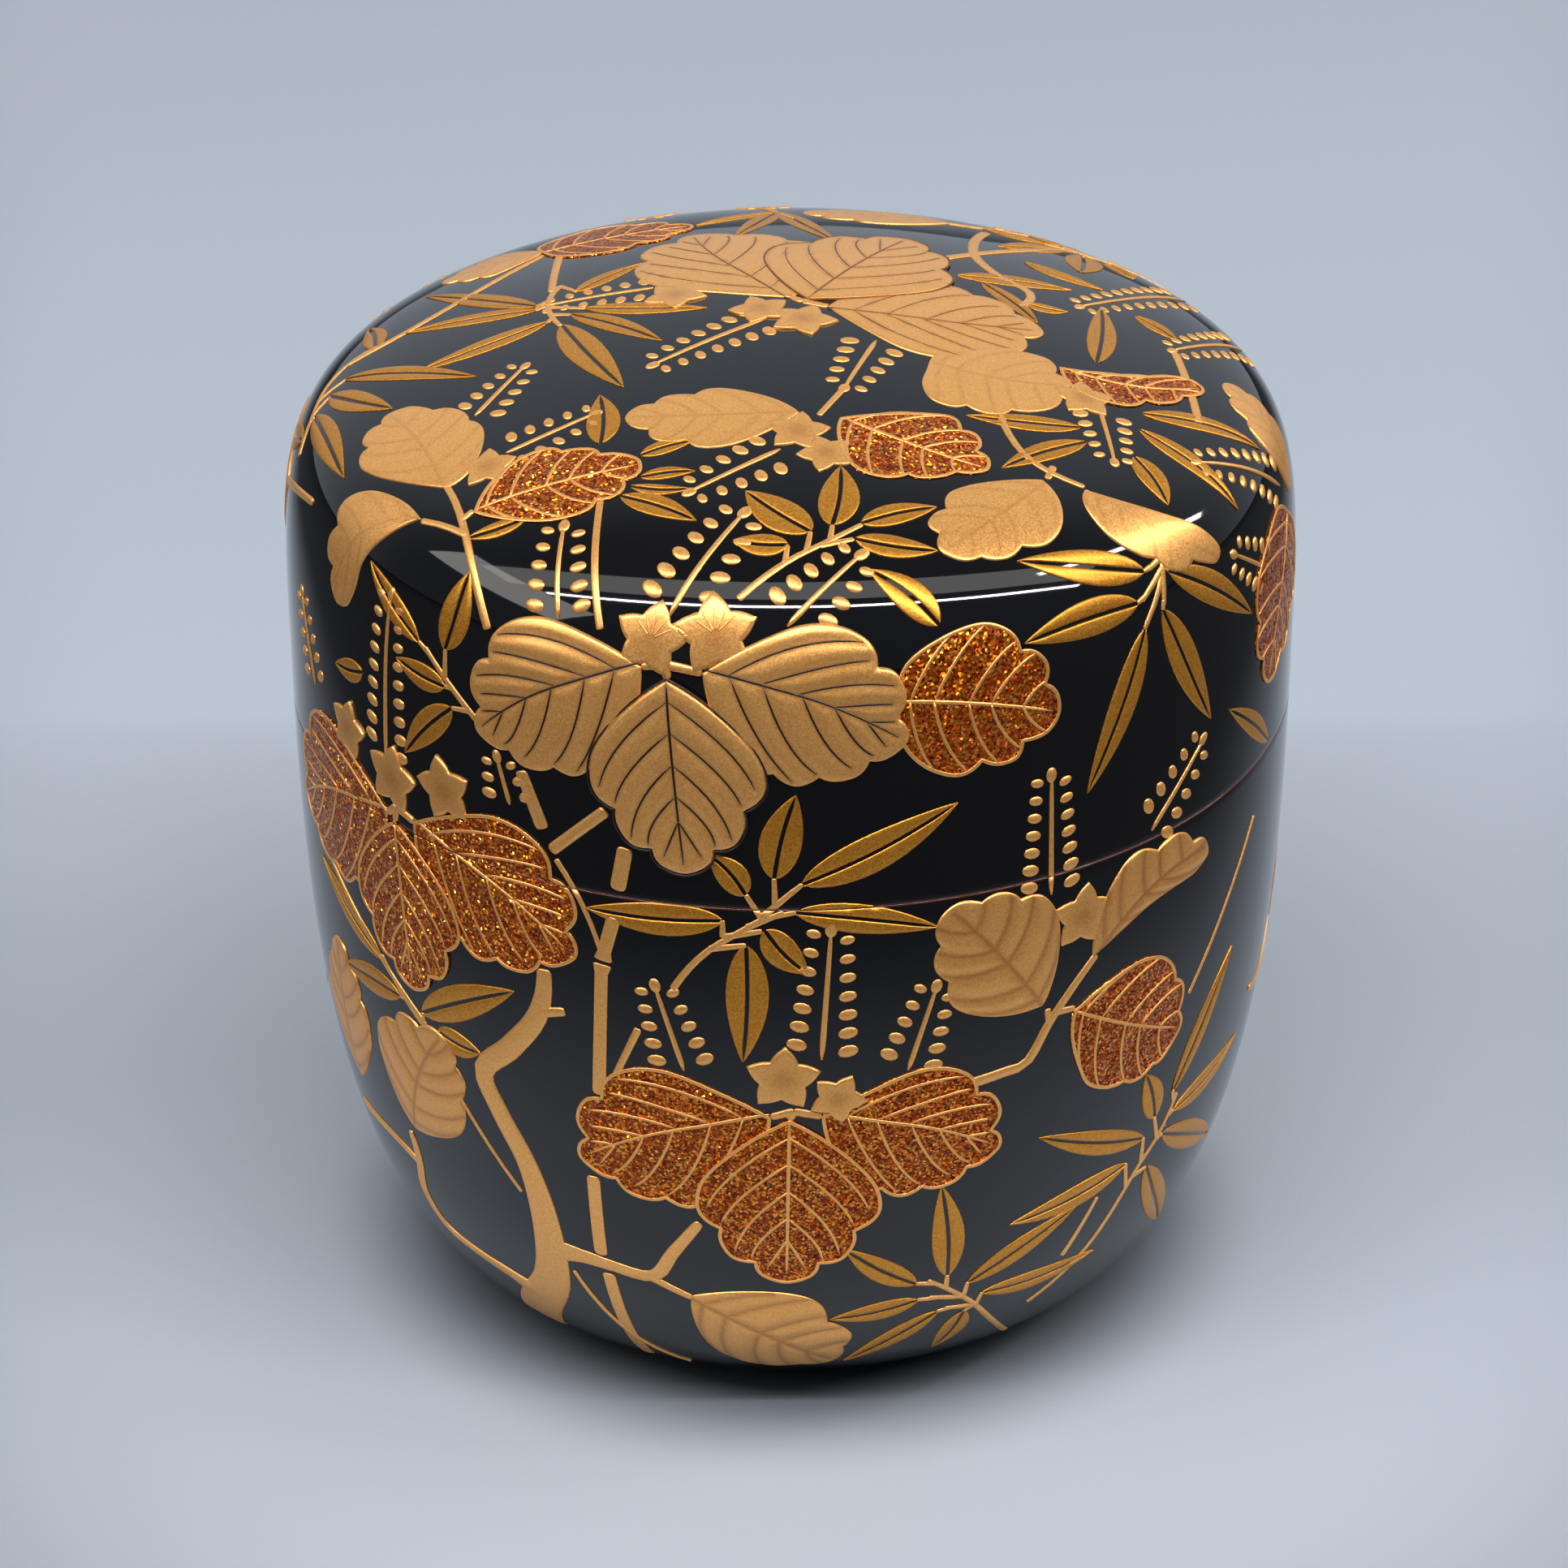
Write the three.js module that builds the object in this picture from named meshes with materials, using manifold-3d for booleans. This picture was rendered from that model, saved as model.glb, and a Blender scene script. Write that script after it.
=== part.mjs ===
// Natsume, a lidded caddy for powdered tea: a turned wooden body and lid in black lacquer, with
// paulownia and bamboo laid over both in raised gold.
// Lengths are in millimetres and +Z is up, with the origin at the middle of the foot.
// Azimuth 0 faces -Y and grows towards +X. A share of the outline runs from 0 at the foot's edge,
// up the body, over the lid's shoulder, to 1 at the top of the crown.

import * as THREE from 'three';
import { mergeVertices } from 'three/addons/utils/BufferGeometryUtils.js';
import Module from 'manifold-3d';

// Driving dimensions of the body and the lid
const SEAM_RADIUS = 36.5;
const SEAM_HEIGHT = 47;
const FOOT_RADIUS = 22.2;
const LID_SIDE_HEIGHT = 26.1;
const CROWN_RADIUS = 22.5;
const CROWN_RISE = 2.8;
const LID_WALL = 1.8;
const LID_CLEARANCE = 0.2;
const COLLAR_WALL = 1.4;
const COLLAR_HEIGHT = 11;
const FLOOR_THICKNESS = 3.6;
const FOOT_RING_WIDTH = 3;
const FOOT_RECESS = 0.6;
const SEAM_EDGE = 0.25;
const COLLAR_EDGE = 0.4;

// Shape of the outline: the angle at the foot, and how far each end of a curve keeps its direction
const FOOT_ANGLE = THREE.MathUtils.degToRad(24);
const FOOT_PULL_SHARE = 0.17;
const SIDE_PULL_SHARE = 0.81;
const SHOULDER_PULL_SHARE = 0.816;
const CROWN_PULL_SHARE = 1.093;

// Raised gold: stems and bamboo lie lowest, and the paulownia leaves over them. Where pieces of one
// motif run into each other, each lies a step above the last.
const STEM_LIFT = 0.1;
const WOOD_LIFT = 0.28;
const LEAF_LIFT = 0.36;
const STEM_THICKNESS = 0.15;
const LEAF_THICKNESS = 0.24;
const FUSED_STEP = 0.02;
const SEAM_MARGIN = 0.12;
const STEM_WIDTH = 0.7;
const BAMBOO_WIDTH = 2.3;
const CULM_WIDTH = 1.4;
const BRANCH_WIDTH = 1.2;
const TRUNK_TOP_WIDTH = 1.2;
const TRUNK_FOOT_WIDTH = 3;
const STEP_LENGTH = 2.6;
const MOST_SAG = 0.22;

// Counts and shares of the leaf's outline
const TURN_STEPS = 36;
const SIDE_STEPS = 8;
const SHOULDER_STEPS = 9;
const CROWN_STEPS = 3;
const INNER_STEPS = 6;
const SURFACE_SAMPLES = 600;
const WALK_STEPS = 10;
const LEAF_LOBE_COUNT = 9;
const LOBE_STEPS = 3;
const STAR_LOBE_COUNT = 5;
const ARC_SAG_SHARE = 0.125;
const BAMBOO_STEPS = 3;
const BAMBOO_STEP_TURN = THREE.MathUtils.degToRad(20);
const STEM_SAMPLES = 40;
const NOTCH_DEPTH_SHARE = 0.13;
const STAR_NOTCH_SHARE = 0.42;
const BASE_TAPER_SHARE = 0.16;
const BAMBOO_END_SHARE = 0.12;

// Curves of the leaf's rim: how blunt its lobes are, where they fade, and where it is drawn in
const LOBE_POWER = 0.6;
const FADE_START_SHARE = 0.75;
const FADE_REACH_SHARE = 0.9;
const DRAWN_IN_ANGLE = 0.6;
const DRAWN_IN_SPREAD = 0.35;
const BAMBOO_SWELL_POWER = 0.8;

// Finishes
const lacquer = { color: 0x08080a, roughness: 0.08, metalness: 0 };
const gold = { color: 0xc8964f, roughness: 0.35, metalness: 0.9 };
const oliveGold = { color: 0xa07a2c, roughness: 0.4, metalness: 0.85 };
const redGold = { color: 0x8a3512, roughness: 0.4, metalness: 0.6 };

const wasm = await Module();
wasm.setup();

// The outline that the whole caddy is turned to
const bodySide = new THREE.CubicBezierCurve(
  new THREE.Vector2(FOOT_RADIUS, 0),
  new THREE.Vector2(
    FOOT_RADIUS + FOOT_PULL_SHARE * SEAM_HEIGHT * Math.cos(FOOT_ANGLE),
    FOOT_PULL_SHARE * SEAM_HEIGHT * Math.sin(FOOT_ANGLE),
  ),
  new THREE.Vector2(SEAM_RADIUS, SEAM_HEIGHT * (1 - SIDE_PULL_SHARE)),
  new THREE.Vector2(SEAM_RADIUS, SEAM_HEIGHT),
);
const crownEdgeHeight = SEAM_HEIGHT + LID_SIDE_HEIGHT;
const crownArcRadius = (CROWN_RADIUS ** 2 + CROWN_RISE ** 2) / (2 * CROWN_RISE);
const crownSlope = Math.asin(CROWN_RADIUS / crownArcRadius);
const crownPull = CROWN_PULL_SHARE * (SEAM_RADIUS - CROWN_RADIUS);
const lidSide = new THREE.CubicBezierCurve(
  new THREE.Vector2(SEAM_RADIUS, SEAM_HEIGHT),
  new THREE.Vector2(SEAM_RADIUS, SEAM_HEIGHT + SHOULDER_PULL_SHARE * LID_SIDE_HEIGHT),
  new THREE.Vector2(
    CROWN_RADIUS + crownPull * Math.cos(crownSlope),
    crownEdgeHeight - crownPull * Math.sin(crownSlope),
  ),
  new THREE.Vector2(CROWN_RADIUS, crownEdgeHeight),
);
const crown = new THREE.EllipseCurve(
  0,
  crownEdgeHeight + CROWN_RISE - crownArcRadius,
  crownArcRadius,
  crownArcRadius,
  Math.PI / 2 - crownSlope,
  Math.PI / 2,
);
const outline = new THREE.CurvePath();
outline.add(bodySide);
outline.add(lidSide);
outline.add(crown);
const outlineLength = outline.getLength();

// Motifs are sized by the girth or by the outline, whichever leaves less room
const OUTLINE_UNIT_SHARE = 1 / 3;
const motifUnit = Math.min(SEAM_RADIUS, outlineLength * OUTLINE_UNIT_SHARE);

// Shares of the outline are chosen with the seam at SEAM_SHARE. Those below it stay on the body and
// those above it on the lid, however high each of them is.
const SEAM_SHARE = 0.4757;
const seamArcShare = bodySide.getLength() / outlineLength;
function outlinePoint(share) {
  const arcShare = share < SEAM_SHARE
    ? share / SEAM_SHARE * seamArcShare
    : 1 - (1 - share) / (1 - SEAM_SHARE) * (1 - seamArcShare);
  return outline.getPoint(arcShare);
}

// Points of a curve moved inwards by a wall, from its start to its end
function innerPoints(curve, wall, steps) {
  return curve.getSpacedPoints(steps).map((point, index) => {
    const along = curve.getTangentAt(index / steps);
    return new THREE.Vector2(point.x - wall * along.y, point.y + wall * along.x);
  });
}

// Radius of the outline on the lid's side at a height
function lidRadiusAt(height) {
  const points = lidSide.getSpacedPoints(SURFACE_SAMPLES);
  return points.find((point) => point.y >= height).x;
}

// The socket inside the lid is turned straight, and the body's collar slides in it
const collarTop = SEAM_HEIGHT + COLLAR_HEIGHT;
const socketRadius = lidRadiusAt(collarTop) - LID_WALL;
const collarRadius = socketRadius - LID_CLEARANCE;
const chamberRadius = collarRadius - COLLAR_WALL;
const bodyWall = SEAM_RADIUS - chamberRadius;

// A profile of radius and height turned round the +Z axis into a closed body
function turned(profile) {
  const geometry = new THREE.LatheGeometry(profile, TURN_STEPS);
  geometry.rotateX(Math.PI / 2);
  geometry.deleteAttribute('normal');
  geometry.deleteAttribute('uv');
  const merged = mergeVertices(geometry);
  merged.computeVertexNormals();
  return merged;
}

function bodyGeometry() {
  const footInside = FOOT_RADIUS - FOOT_RING_WIDTH;
  const outside = bodySide.getSpacedPoints(SIDE_STEPS);
  outside[SIDE_STEPS].y -= SEAM_EDGE;
  const inside = innerPoints(bodySide, bodyWall, INNER_STEPS)
    .filter((point) => point.y > FLOOR_THICKNESS)
    .reverse();
  const chamberFloor = inside[inside.length - 1].x - FLOOR_THICKNESS / 2;
  return turned([
    new THREE.Vector2(0, FOOT_RECESS),
    new THREE.Vector2(footInside - FOOT_RECESS, FOOT_RECESS),
    new THREE.Vector2(footInside, 0),
    ...outside,
    new THREE.Vector2(SEAM_RADIUS - SEAM_EDGE, SEAM_HEIGHT),
    new THREE.Vector2(collarRadius, SEAM_HEIGHT),
    new THREE.Vector2(collarRadius, collarTop - COLLAR_EDGE),
    new THREE.Vector2(collarRadius - COLLAR_EDGE, collarTop),
    new THREE.Vector2(chamberRadius + COLLAR_EDGE, collarTop),
    new THREE.Vector2(chamberRadius, collarTop - COLLAR_EDGE),
    ...inside,
    new THREE.Vector2(chamberFloor, FLOOR_THICKNESS),
    new THREE.Vector2(0, FLOOR_THICKNESS),
  ]);
}

function lidGeometry() {
  const outside = lidSide.getSpacedPoints(SHOULDER_STEPS);
  outside[0].y += SEAM_EDGE;
  const ceiling = innerPoints(crown, LID_WALL, CROWN_STEPS).reverse();
  ceiling[0].x = 0;
  const shoulder = innerPoints(lidSide, LID_WALL, SHOULDER_STEPS)
    .filter((point) => point.y > collarTop && point.x < socketRadius)
    .reverse();
  return turned([
    ...ceiling,
    ...shoulder.slice(1),
    new THREE.Vector2(socketRadius, collarTop),
    new THREE.Vector2(socketRadius, SEAM_HEIGHT),
    new THREE.Vector2(SEAM_RADIUS - SEAM_EDGE, SEAM_HEIGHT),
    ...outside,
    ...crown.getSpacedPoints(CROWN_STEPS).slice(1),
  ]);
}

// The turned surface as samples, found again from any point by its bearing from the caddy's heart
const heartHeight = SEAM_HEIGHT * SIDE_PULL_SHARE;
const samples = outline.getSpacedPoints(SURFACE_SAMPLES);
const bearings = samples.map((point) => Math.atan2(point.y - heartHeight, point.x));
const slopes = samples.map((point, index) => {
  const before = samples[Math.max(index - 1, 0)];
  const after = samples[Math.min(index + 1, SURFACE_SAMPLES)];
  return after.clone().sub(before).normalize();
});

// The place on the surface that lies under a point: its position and its outward normal
function onSurface(point) {
  const radius = Math.hypot(point.x, point.y);
  const bearing = Math.atan2(point.z - heartHeight, radius);
  let low = 0;
  let high = SURFACE_SAMPLES;
  while (high - low > 1) {
    const middle = Math.floor((low + high) / 2);
    if (bearings[middle] > bearing) {
      high = middle;
    } else {
      low = middle;
    }
  }
  const share = (bearing - bearings[low]) / (bearings[high] - bearings[low]);
  const place = samples[low].clone().lerp(samples[high], share);
  const slope = slopes[low].clone().lerp(slopes[high], share);
  const outwardX = radius > 0 ? point.x / radius : 1;
  const outwardY = radius > 0 ? point.y / radius : 0;
  return {
    position: new THREE.Vector3(place.x * outwardX, place.x * outwardY, place.y),
    normal: new THREE.Vector3(slope.y * outwardX, slope.y * outwardY, -slope.x).normalize(),
  };
}

// The place at an azimuth in degrees and a share of the outline
function placeAt(azimuth, share) {
  const angle = THREE.MathUtils.degToRad(azimuth);
  const point = outlinePoint(share);
  return onSurface(new THREE.Vector3(point.x * Math.sin(angle), -point.x * Math.cos(angle), point.y));
}

// Walks straight ahead over the surface, as a strip of gold leaf would lie on it
function walk(start, heading, distance) {
  const direction = heading.clone();
  let place = start;
  for (let step = 0; step < WALK_STEPS; step += 1) {
    place = onSurface(place.position.clone().addScaledVector(direction, distance / WALK_STEPS));
    direction.addScaledVector(place.normal, -direction.dot(place.normal)).normalize();
  }
  return { ...place, direction };
}

// The way from one place to another: its start, heading, sideways direction and length
function wayBetween(start, end) {
  const heading = end.position.clone().sub(start.position);
  const chord = heading.length();
  heading.addScaledVector(start.normal, -heading.dot(start.normal)).normalize();
  const reached = walk(start, heading, chord);
  const turn = start.normal.angleTo(end.normal);
  return {
    start,
    heading,
    turn,
    sideways: heading.clone().cross(start.normal),
    length: chord + reached.position.distanceTo(end.position),
  };
}

function lifted(place, lift) {
  return place.position.clone().addScaledVector(place.normal, lift).toArray();
}

// A plate of even thickness from places on the surface, its faces, and its rim in order
function plate(places, faces, rim, lift, thickness) {
  const count = places.length;
  const top = places.flatMap((place) => lifted(place, lift + thickness));
  const bottom = places.flatMap((place) => lifted(place, lift));
  const triangles = faces.flatMap(([a, b, c]) => [a, b, c, a + count, c + count, b + count]);
  rim.forEach((current, index) => {
    const next = rim[(index + 1) % rim.length];
    triangles.push(current, current + count, next, next, current + count, next + count);
  });
  return new wasm.Manifold(new wasm.Mesh({
    numProp: 3,
    vertProperties: new Float32Array([...top, ...bottom]),
    triVerts: new Uint32Array(triangles),
  }));
}

// Half the size of a leaf at an angle from its tip, as a share of the plain oval's
function lobeShare(angle, lobes, notch, taper) {
  const lobe = Math.abs(Math.cos(lobes * angle / 2)) ** LOBE_POWER;
  const fade = THREE.MathUtils.clamp((Math.cos(angle) + FADE_START_SHARE) / FADE_REACH_SHARE, 0, 1);
  const fromBase = Math.PI - Math.abs(angle);
  const drawnIn = taper * Math.exp(-(((fromBase - DRAWN_IN_ANGLE) / DRAWN_IN_SPREAD) ** 2));
  return 1 - notch * fade * (1 - lobe) - drawnIn;
}

// A round plate with a lobed rim, laid from its base to its tip
function lobedPlate(way, width, lift, lobes, notch, taper) {
  const points = lobes * LOBE_STEPS;
  const half = way.length / 2;
  const layAt = (x, y) => {
    const direction = way.sideways.clone().multiplyScalar(x).addScaledVector(way.heading, y);
    const distance = direction.length();
    return walk(way.start, direction.normalize(), distance);
  };
  const places = [layAt(0, half)];
  const turnAcross = layAt(-width / 2, half).normal.angleTo(layAt(width / 2, half).normal);
  const mostBend = Math.max(way.turn * way.length, turnAcross * width);
  const rings = Math.ceil(Math.sqrt(ARC_SAG_SHARE * mostBend / MOST_SAG) / 2);
  for (let ring = 1; ring <= rings; ring += 1) {
    for (let index = 0; index < points; index += 1) {
      const angle = Math.PI - 2 * Math.PI * index / points;
      const oval = 1 / Math.hypot(Math.cos(angle) / half, Math.sin(angle) / (width / 2));
      const size = oval * lobeShare(angle, lobes, notch, taper) * ring / rings;
      places.push(layAt(size * Math.sin(angle), half + size * Math.cos(angle)));
    }
  }
  const at = (ring, index) => 1 + (ring - 1) * points + index % points;
  const faces = [];
  for (let index = 0; index < points; index += 1) {
    faces.push([0, at(1, index), at(1, index + 1)]);
    for (let ring = 1; ring < rings; ring += 1) {
      faces.push([at(ring, index), at(ring + 1, index), at(ring + 1, index + 1)]);
      faces.push([at(ring, index), at(ring + 1, index + 1), at(ring, index + 1)]);
    }
  }
  const rim = Array.from({ length: points }, (_, index) => at(rings, index));
  return plate(places, faces, rim, lift, LEAF_THICKNESS);
}

function leafPlate([azimuth, share, tipAzimuth, tipShare], width, lift) {
  const way = wayBetween(placeAt(azimuth, share), placeAt(tipAzimuth, tipShare));
  return lobedPlate(way, width, lift, LEAF_LOBE_COUNT, NOTCH_DEPTH_SHARE, BASE_TAPER_SHARE);
}

function starPlate([azimuth, share, sizeShare], lift) {
  const size = sizeShare * motifUnit;
  const half = size / 2 / outlineLength;
  const way = wayBetween(placeAt(azimuth, share - half), placeAt(azimuth, share + half));
  return lobedPlate(way, size, lift, STAR_LOBE_COUNT, STAR_NOTCH_SHARE, 0);
}

// A band between two edges, from pairs of a middle place with its direction and a half width
function bandPlate(sections, lift) {
  const places = sections.flatMap(({ position, normal, direction, half }) => {
    const sideways = direction.clone().cross(normal).multiplyScalar(half);
    return [onSurface(position.clone().sub(sideways)), onSurface(position.clone().add(sideways))];
  });
  const faces = [];
  for (let index = 0; index < places.length - 2; index += 2) {
    faces.push([index, index + 1, index + 3]);
    faces.push([index, index + 3, index + 2]);
  }
  const right = sections.map((_, index) => 2 * index + 1);
  const left = sections.map((_, index) => 2 * index).reverse();
  return plate(places, faces, [...right, ...left], lift, STEM_THICKNESS);
}

// A bamboo leaf: a lance widest before its middle, with narrow ends
function bambooPlate(base, tip, lift) {
  const way = wayBetween(base, tip);
  const steps = Math.max(Math.ceil(way.turn / BAMBOO_STEP_TURN), BAMBOO_STEPS);
  const sections = [];
  for (let step = 0; step <= steps; step += 1) {
    const along = step / steps;
    const swell = Math.max(Math.sin(Math.PI * along ** BAMBOO_SWELL_POWER), BAMBOO_END_SHARE);
    const place = step > 0
      ? walk(way.start, way.heading, along * way.length)
      : { ...way.start, direction: way.heading };
    sections.push({ ...place, half: swell * BAMBOO_WIDTH / 2 });
  }
  return bandPlate(sections, lift);
}

// A smooth route through places given by azimuth and share
function routeCurve(route) {
  const points = route.map(([azimuth, share]) => placeAt(azimuth, share).position);
  return new THREE.CatmullRomCurve3(points, false, 'centripetal');
}

// The place on a stem that lies nearest to an azimuth and share, where a leaf or a side stem starts
function nearestOn(curves, azimuth, share) {
  const wanted = placeAt(azimuth, share).position;
  const candidates = curves.flatMap((curve) => curve.getSpacedPoints(STEM_SAMPLES).slice(1, -1));
  candidates.sort((one, other) => one.distanceTo(wanted) - other.distanceTo(wanted));
  return onSurface(candidates[0]);
}

// A stem along a route, narrowing or widening evenly
function stemPlate(curve, startWidth, endWidth, lift) {
  const steps = Math.max(Math.ceil(curve.getLength() / STEP_LENGTH), 2);
  const sections = [];
  for (let step = 0; step <= steps; step += 1) {
    const along = step / steps;
    sections.push({
      ...onSurface(curve.getPointAt(along)),
      direction: curve.getTangentAt(along),
      half: THREE.MathUtils.lerp(startWidth, endWidth, along) / 2,
    });
  }
  return bandPlate(sections, lift);
}

// Joins overlapping plates into one solid
function fused(plates) {
  return plates.reduce((whole, next) => whole.add(next));
}

function sprayPlates({ jointShare, tipShares, widthShare, starShares }) {
  const leaves = tipShares.map((tip, index) => {
    return leafPlate([...jointShare, ...tip], widthShare * motifUnit, LEAF_LIFT + index * FUSED_STEP);
  });
  const flowers = starShares.map((star, index) => {
    return starPlate(star, LEAF_LIFT + (tipShares.length + index) * FUSED_STEP);
  });
  return fused([...leaves, ...flowers]);
}

// Bamboo: a main stem, side stems that start on it, and leaves that start on the nearest stem
function sprigPlates({ stemShares, leafShares }) {
  const [main, ...sides] = stemShares;
  const mainCurve = routeCurve(main);
  const sideCurves = sides.map(([start, ...rest]) => {
    const points = rest.map(([azimuth, share]) => placeAt(azimuth, share).position);
    points.unshift(nearestOn([mainCurve], ...start).position);
    return new THREE.CatmullRomCurve3(points, false, 'centripetal');
  });
  const curves = [mainCurve, ...sideCurves];
  const stalks = curves.map((curve, index) => {
    return stemPlate(curve, STEM_WIDTH, STEM_WIDTH, STEM_LIFT + index % 2 * FUSED_STEP);
  });
  const blades = leafShares.map(([azimuth, share, tipAzimuth, tipShare], index) => {
    const base = nearestOn(curves, azimuth, share);
    const lift = STEM_LIFT + (2 + index % 2) * FUSED_STEP;
    return bambooPlate(base, placeAt(tipAzimuth, tipShare), lift);
  });
  return fused([...stalks, ...blades]);
}

// Half of a solid, above or below the seam, where a motif runs from the body on to the lid
function cutAtSeam(solid, keepsUpper) {
  const size = 4 * SEAM_RADIUS;
  const block = new THREE.BoxGeometry(size, size, size);
  block.deleteAttribute('normal');
  block.deleteAttribute('uv');
  const middle = size / 2 - SEAM_MARGIN;
  block.translate(0, 0, SEAM_HEIGHT + (keepsUpper ? -middle : middle));
  const merged = mergeVertices(block);
  const cutter = new wasm.Manifold(new wasm.Mesh({
    numProp: 3,
    vertProperties: new Float32Array(merged.attributes.position.array),
    triVerts: new Uint32Array(merged.index.array),
  }));
  return solid.subtract(cutter);
}

function asGeometry(solid) {
  const { vertProperties, triVerts } = solid.getMesh();
  const geometry = new THREE.BufferGeometry();
  geometry.setAttribute('position', new THREE.BufferAttribute(vertProperties, 3));
  geometry.setIndex(new THREE.BufferAttribute(triVerts, 1));
  geometry.computeVertexNormals();
  return geometry;
}

// The caddy: what lifts off with the lid, and what stays with the body
const caddy = new THREE.Group();

function addPiece(name, geometry, finish) {
  const piece = new THREE.Mesh(geometry, new THREE.MeshStandardMaterial(finish));
  piece.name = name;
  caddy.add(piece);
}

addPiece('body', bodyGeometry(), lacquer);
addPiece('lid', lidGeometry(), lacquer);

// Paulownia sprays: three leaves from one joint, with star flowers over it. Each place is an azimuth
// in degrees and a share of the outline, and widths are shares of the motif unit.
const sprayShares = [
  {
    name: 'lid_spray_front', finish: gold, jointShare: [-13, 0.628], widthShare: 0.305,
    tipShares: [[-36, 0.588], [11.5, 0.588], [-11, 0.498]],
    starShares: [[-15.5, 0.65, 0.15], [-7, 0.655, 0.15]],
  },
  {
    name: 'lid_spray_crown', finish: gold, jointShare: [12, 0.968], widthShare: 0.27,
    tipShares: [[-132, 0.886], [138, 0.869], [73, 0.83]],
    starShares: [],
  },
  {
    name: 'lid_spray_back', finish: gold, jointShare: [187, 0.632], widthShare: 0.305,
    tipShares: [[164, 0.592], [210, 0.588], [188, 0.5]],
    starShares: [],
  },
  {
    name: 'body_spray_centre', finish: redGold, jointShare: [-0.5, 0.326], widthShare: 0.31,
    tipShares: [[-23, 0.28], [23.5, 0.28], [-0.5, 0.184]],
    starShares: [[0.5, 0.349, 0.18]],
  },
  {
    name: 'body_spray_back', finish: redGold, jointShare: [152, 0.33], widthShare: 0.31,
    tipShares: [[128.5, 0.287], [176, 0.284], [152, 0.19]],
    starShares: [],
  },
];
const crossingSprayShares = {
  jointShare: [-46.5, 0.486], widthShare: 0.32,
  tipShares: [[-71, 0.447], [-24.5, 0.437], [-47.5, 0.355]],
  starShares: [[-49.5, 0.508, 0.16], [-41, 0.511, 0.15]],
};

// Single paulownia leaves: name, finish, base, tip and width share
const singleLeafShares = [
  ['lid_leaf_left', gold, [-49, 0.722, -71, 0.727], 0.22],
  ['lid_leaf_left_curled', gold, [-48.5, 0.686, -60.5, 0.611], 0.15],
  ['lid_leaf_left_red', redGold, [-42, 0.704, -23.5, 0.776], 0.19],
  ['lid_leaf_middle', gold, [-0.5, 0.836, -34, 0.817], 0.17],
  ['lid_leaf_middle_red', redGold, [10, 0.827, 29, 0.766], 0.17],
  ['lid_leaf_right', gold, [59, 0.788, 35, 0.832], 0.19],
  ['lid_leaf_right_red', redGold, [60.5, 0.797, 78.5, 0.724], 0.11],
  ['lid_leaf_right_front', gold, [38.5, 0.735, 20, 0.702], 0.19],
  ['lid_leaf_right_folded', gold, [41, 0.721, 51, 0.637], 0.13],
  ['lid_leaf_front_red', redGold, [11.8, 0.613, 29, 0.6], 0.29],
  ['lid_leaf_shoulder', gold, [75, 0.692, 89, 0.674], 0.19],
  ['lid_leaf_side_red', redGold, [61.5, 0.59, 79, 0.556], 0.29],
  ['lid_leaf_back', gold, [151, 0.852, 163, 0.76], 0.2],
  ['lid_leaf_back_red', redGold, [-124.5, 0.84, -146.5, 0.743], 0.18],
  ['lid_leaf_back_left', gold, [-121, 0.79, -126, 0.7], 0.17],
  ['lid_leaf_side', gold, [-84, 0.63, -101, 0.585], 0.25],
  ['lid_leaf_rear_red', redGold, [142, 0.62, 125, 0.59], 0.27],
  ['body_leaf_right', gold, [28.5, 0.382, 18.5, 0.469], 0.245],
  ['body_leaf_right_folded', gold, [35, 0.408, 52, 0.446], 0.14],
  ['body_leaf_right_red', redGold, [32.5, 0.373, 48.5, 0.303], 0.25],
  ['body_leaf_low', gold, [-12.8, 0.16, 6.5, 0.108], 0.24],
  ['body_leaf_left', gold, [-51.5, 0.234, -48.5, 0.326], 0.24],
  ['body_leaf_far_left', gold, [-67, 0.234, -65, 0.34], 0.2],
  ['body_leaf_side', gold, [83, 0.3, 98, 0.37], 0.24],
  ['body_leaf_side_left', gold, [-104, 0.29, -119, 0.35], 0.24],
  ['body_leaf_back', gold, [196, 0.26, 213, 0.31], 0.24],
  ['body_leaf_back_red', redGold, [218, 0.4, 202, 0.455], 0.25],
];

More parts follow.
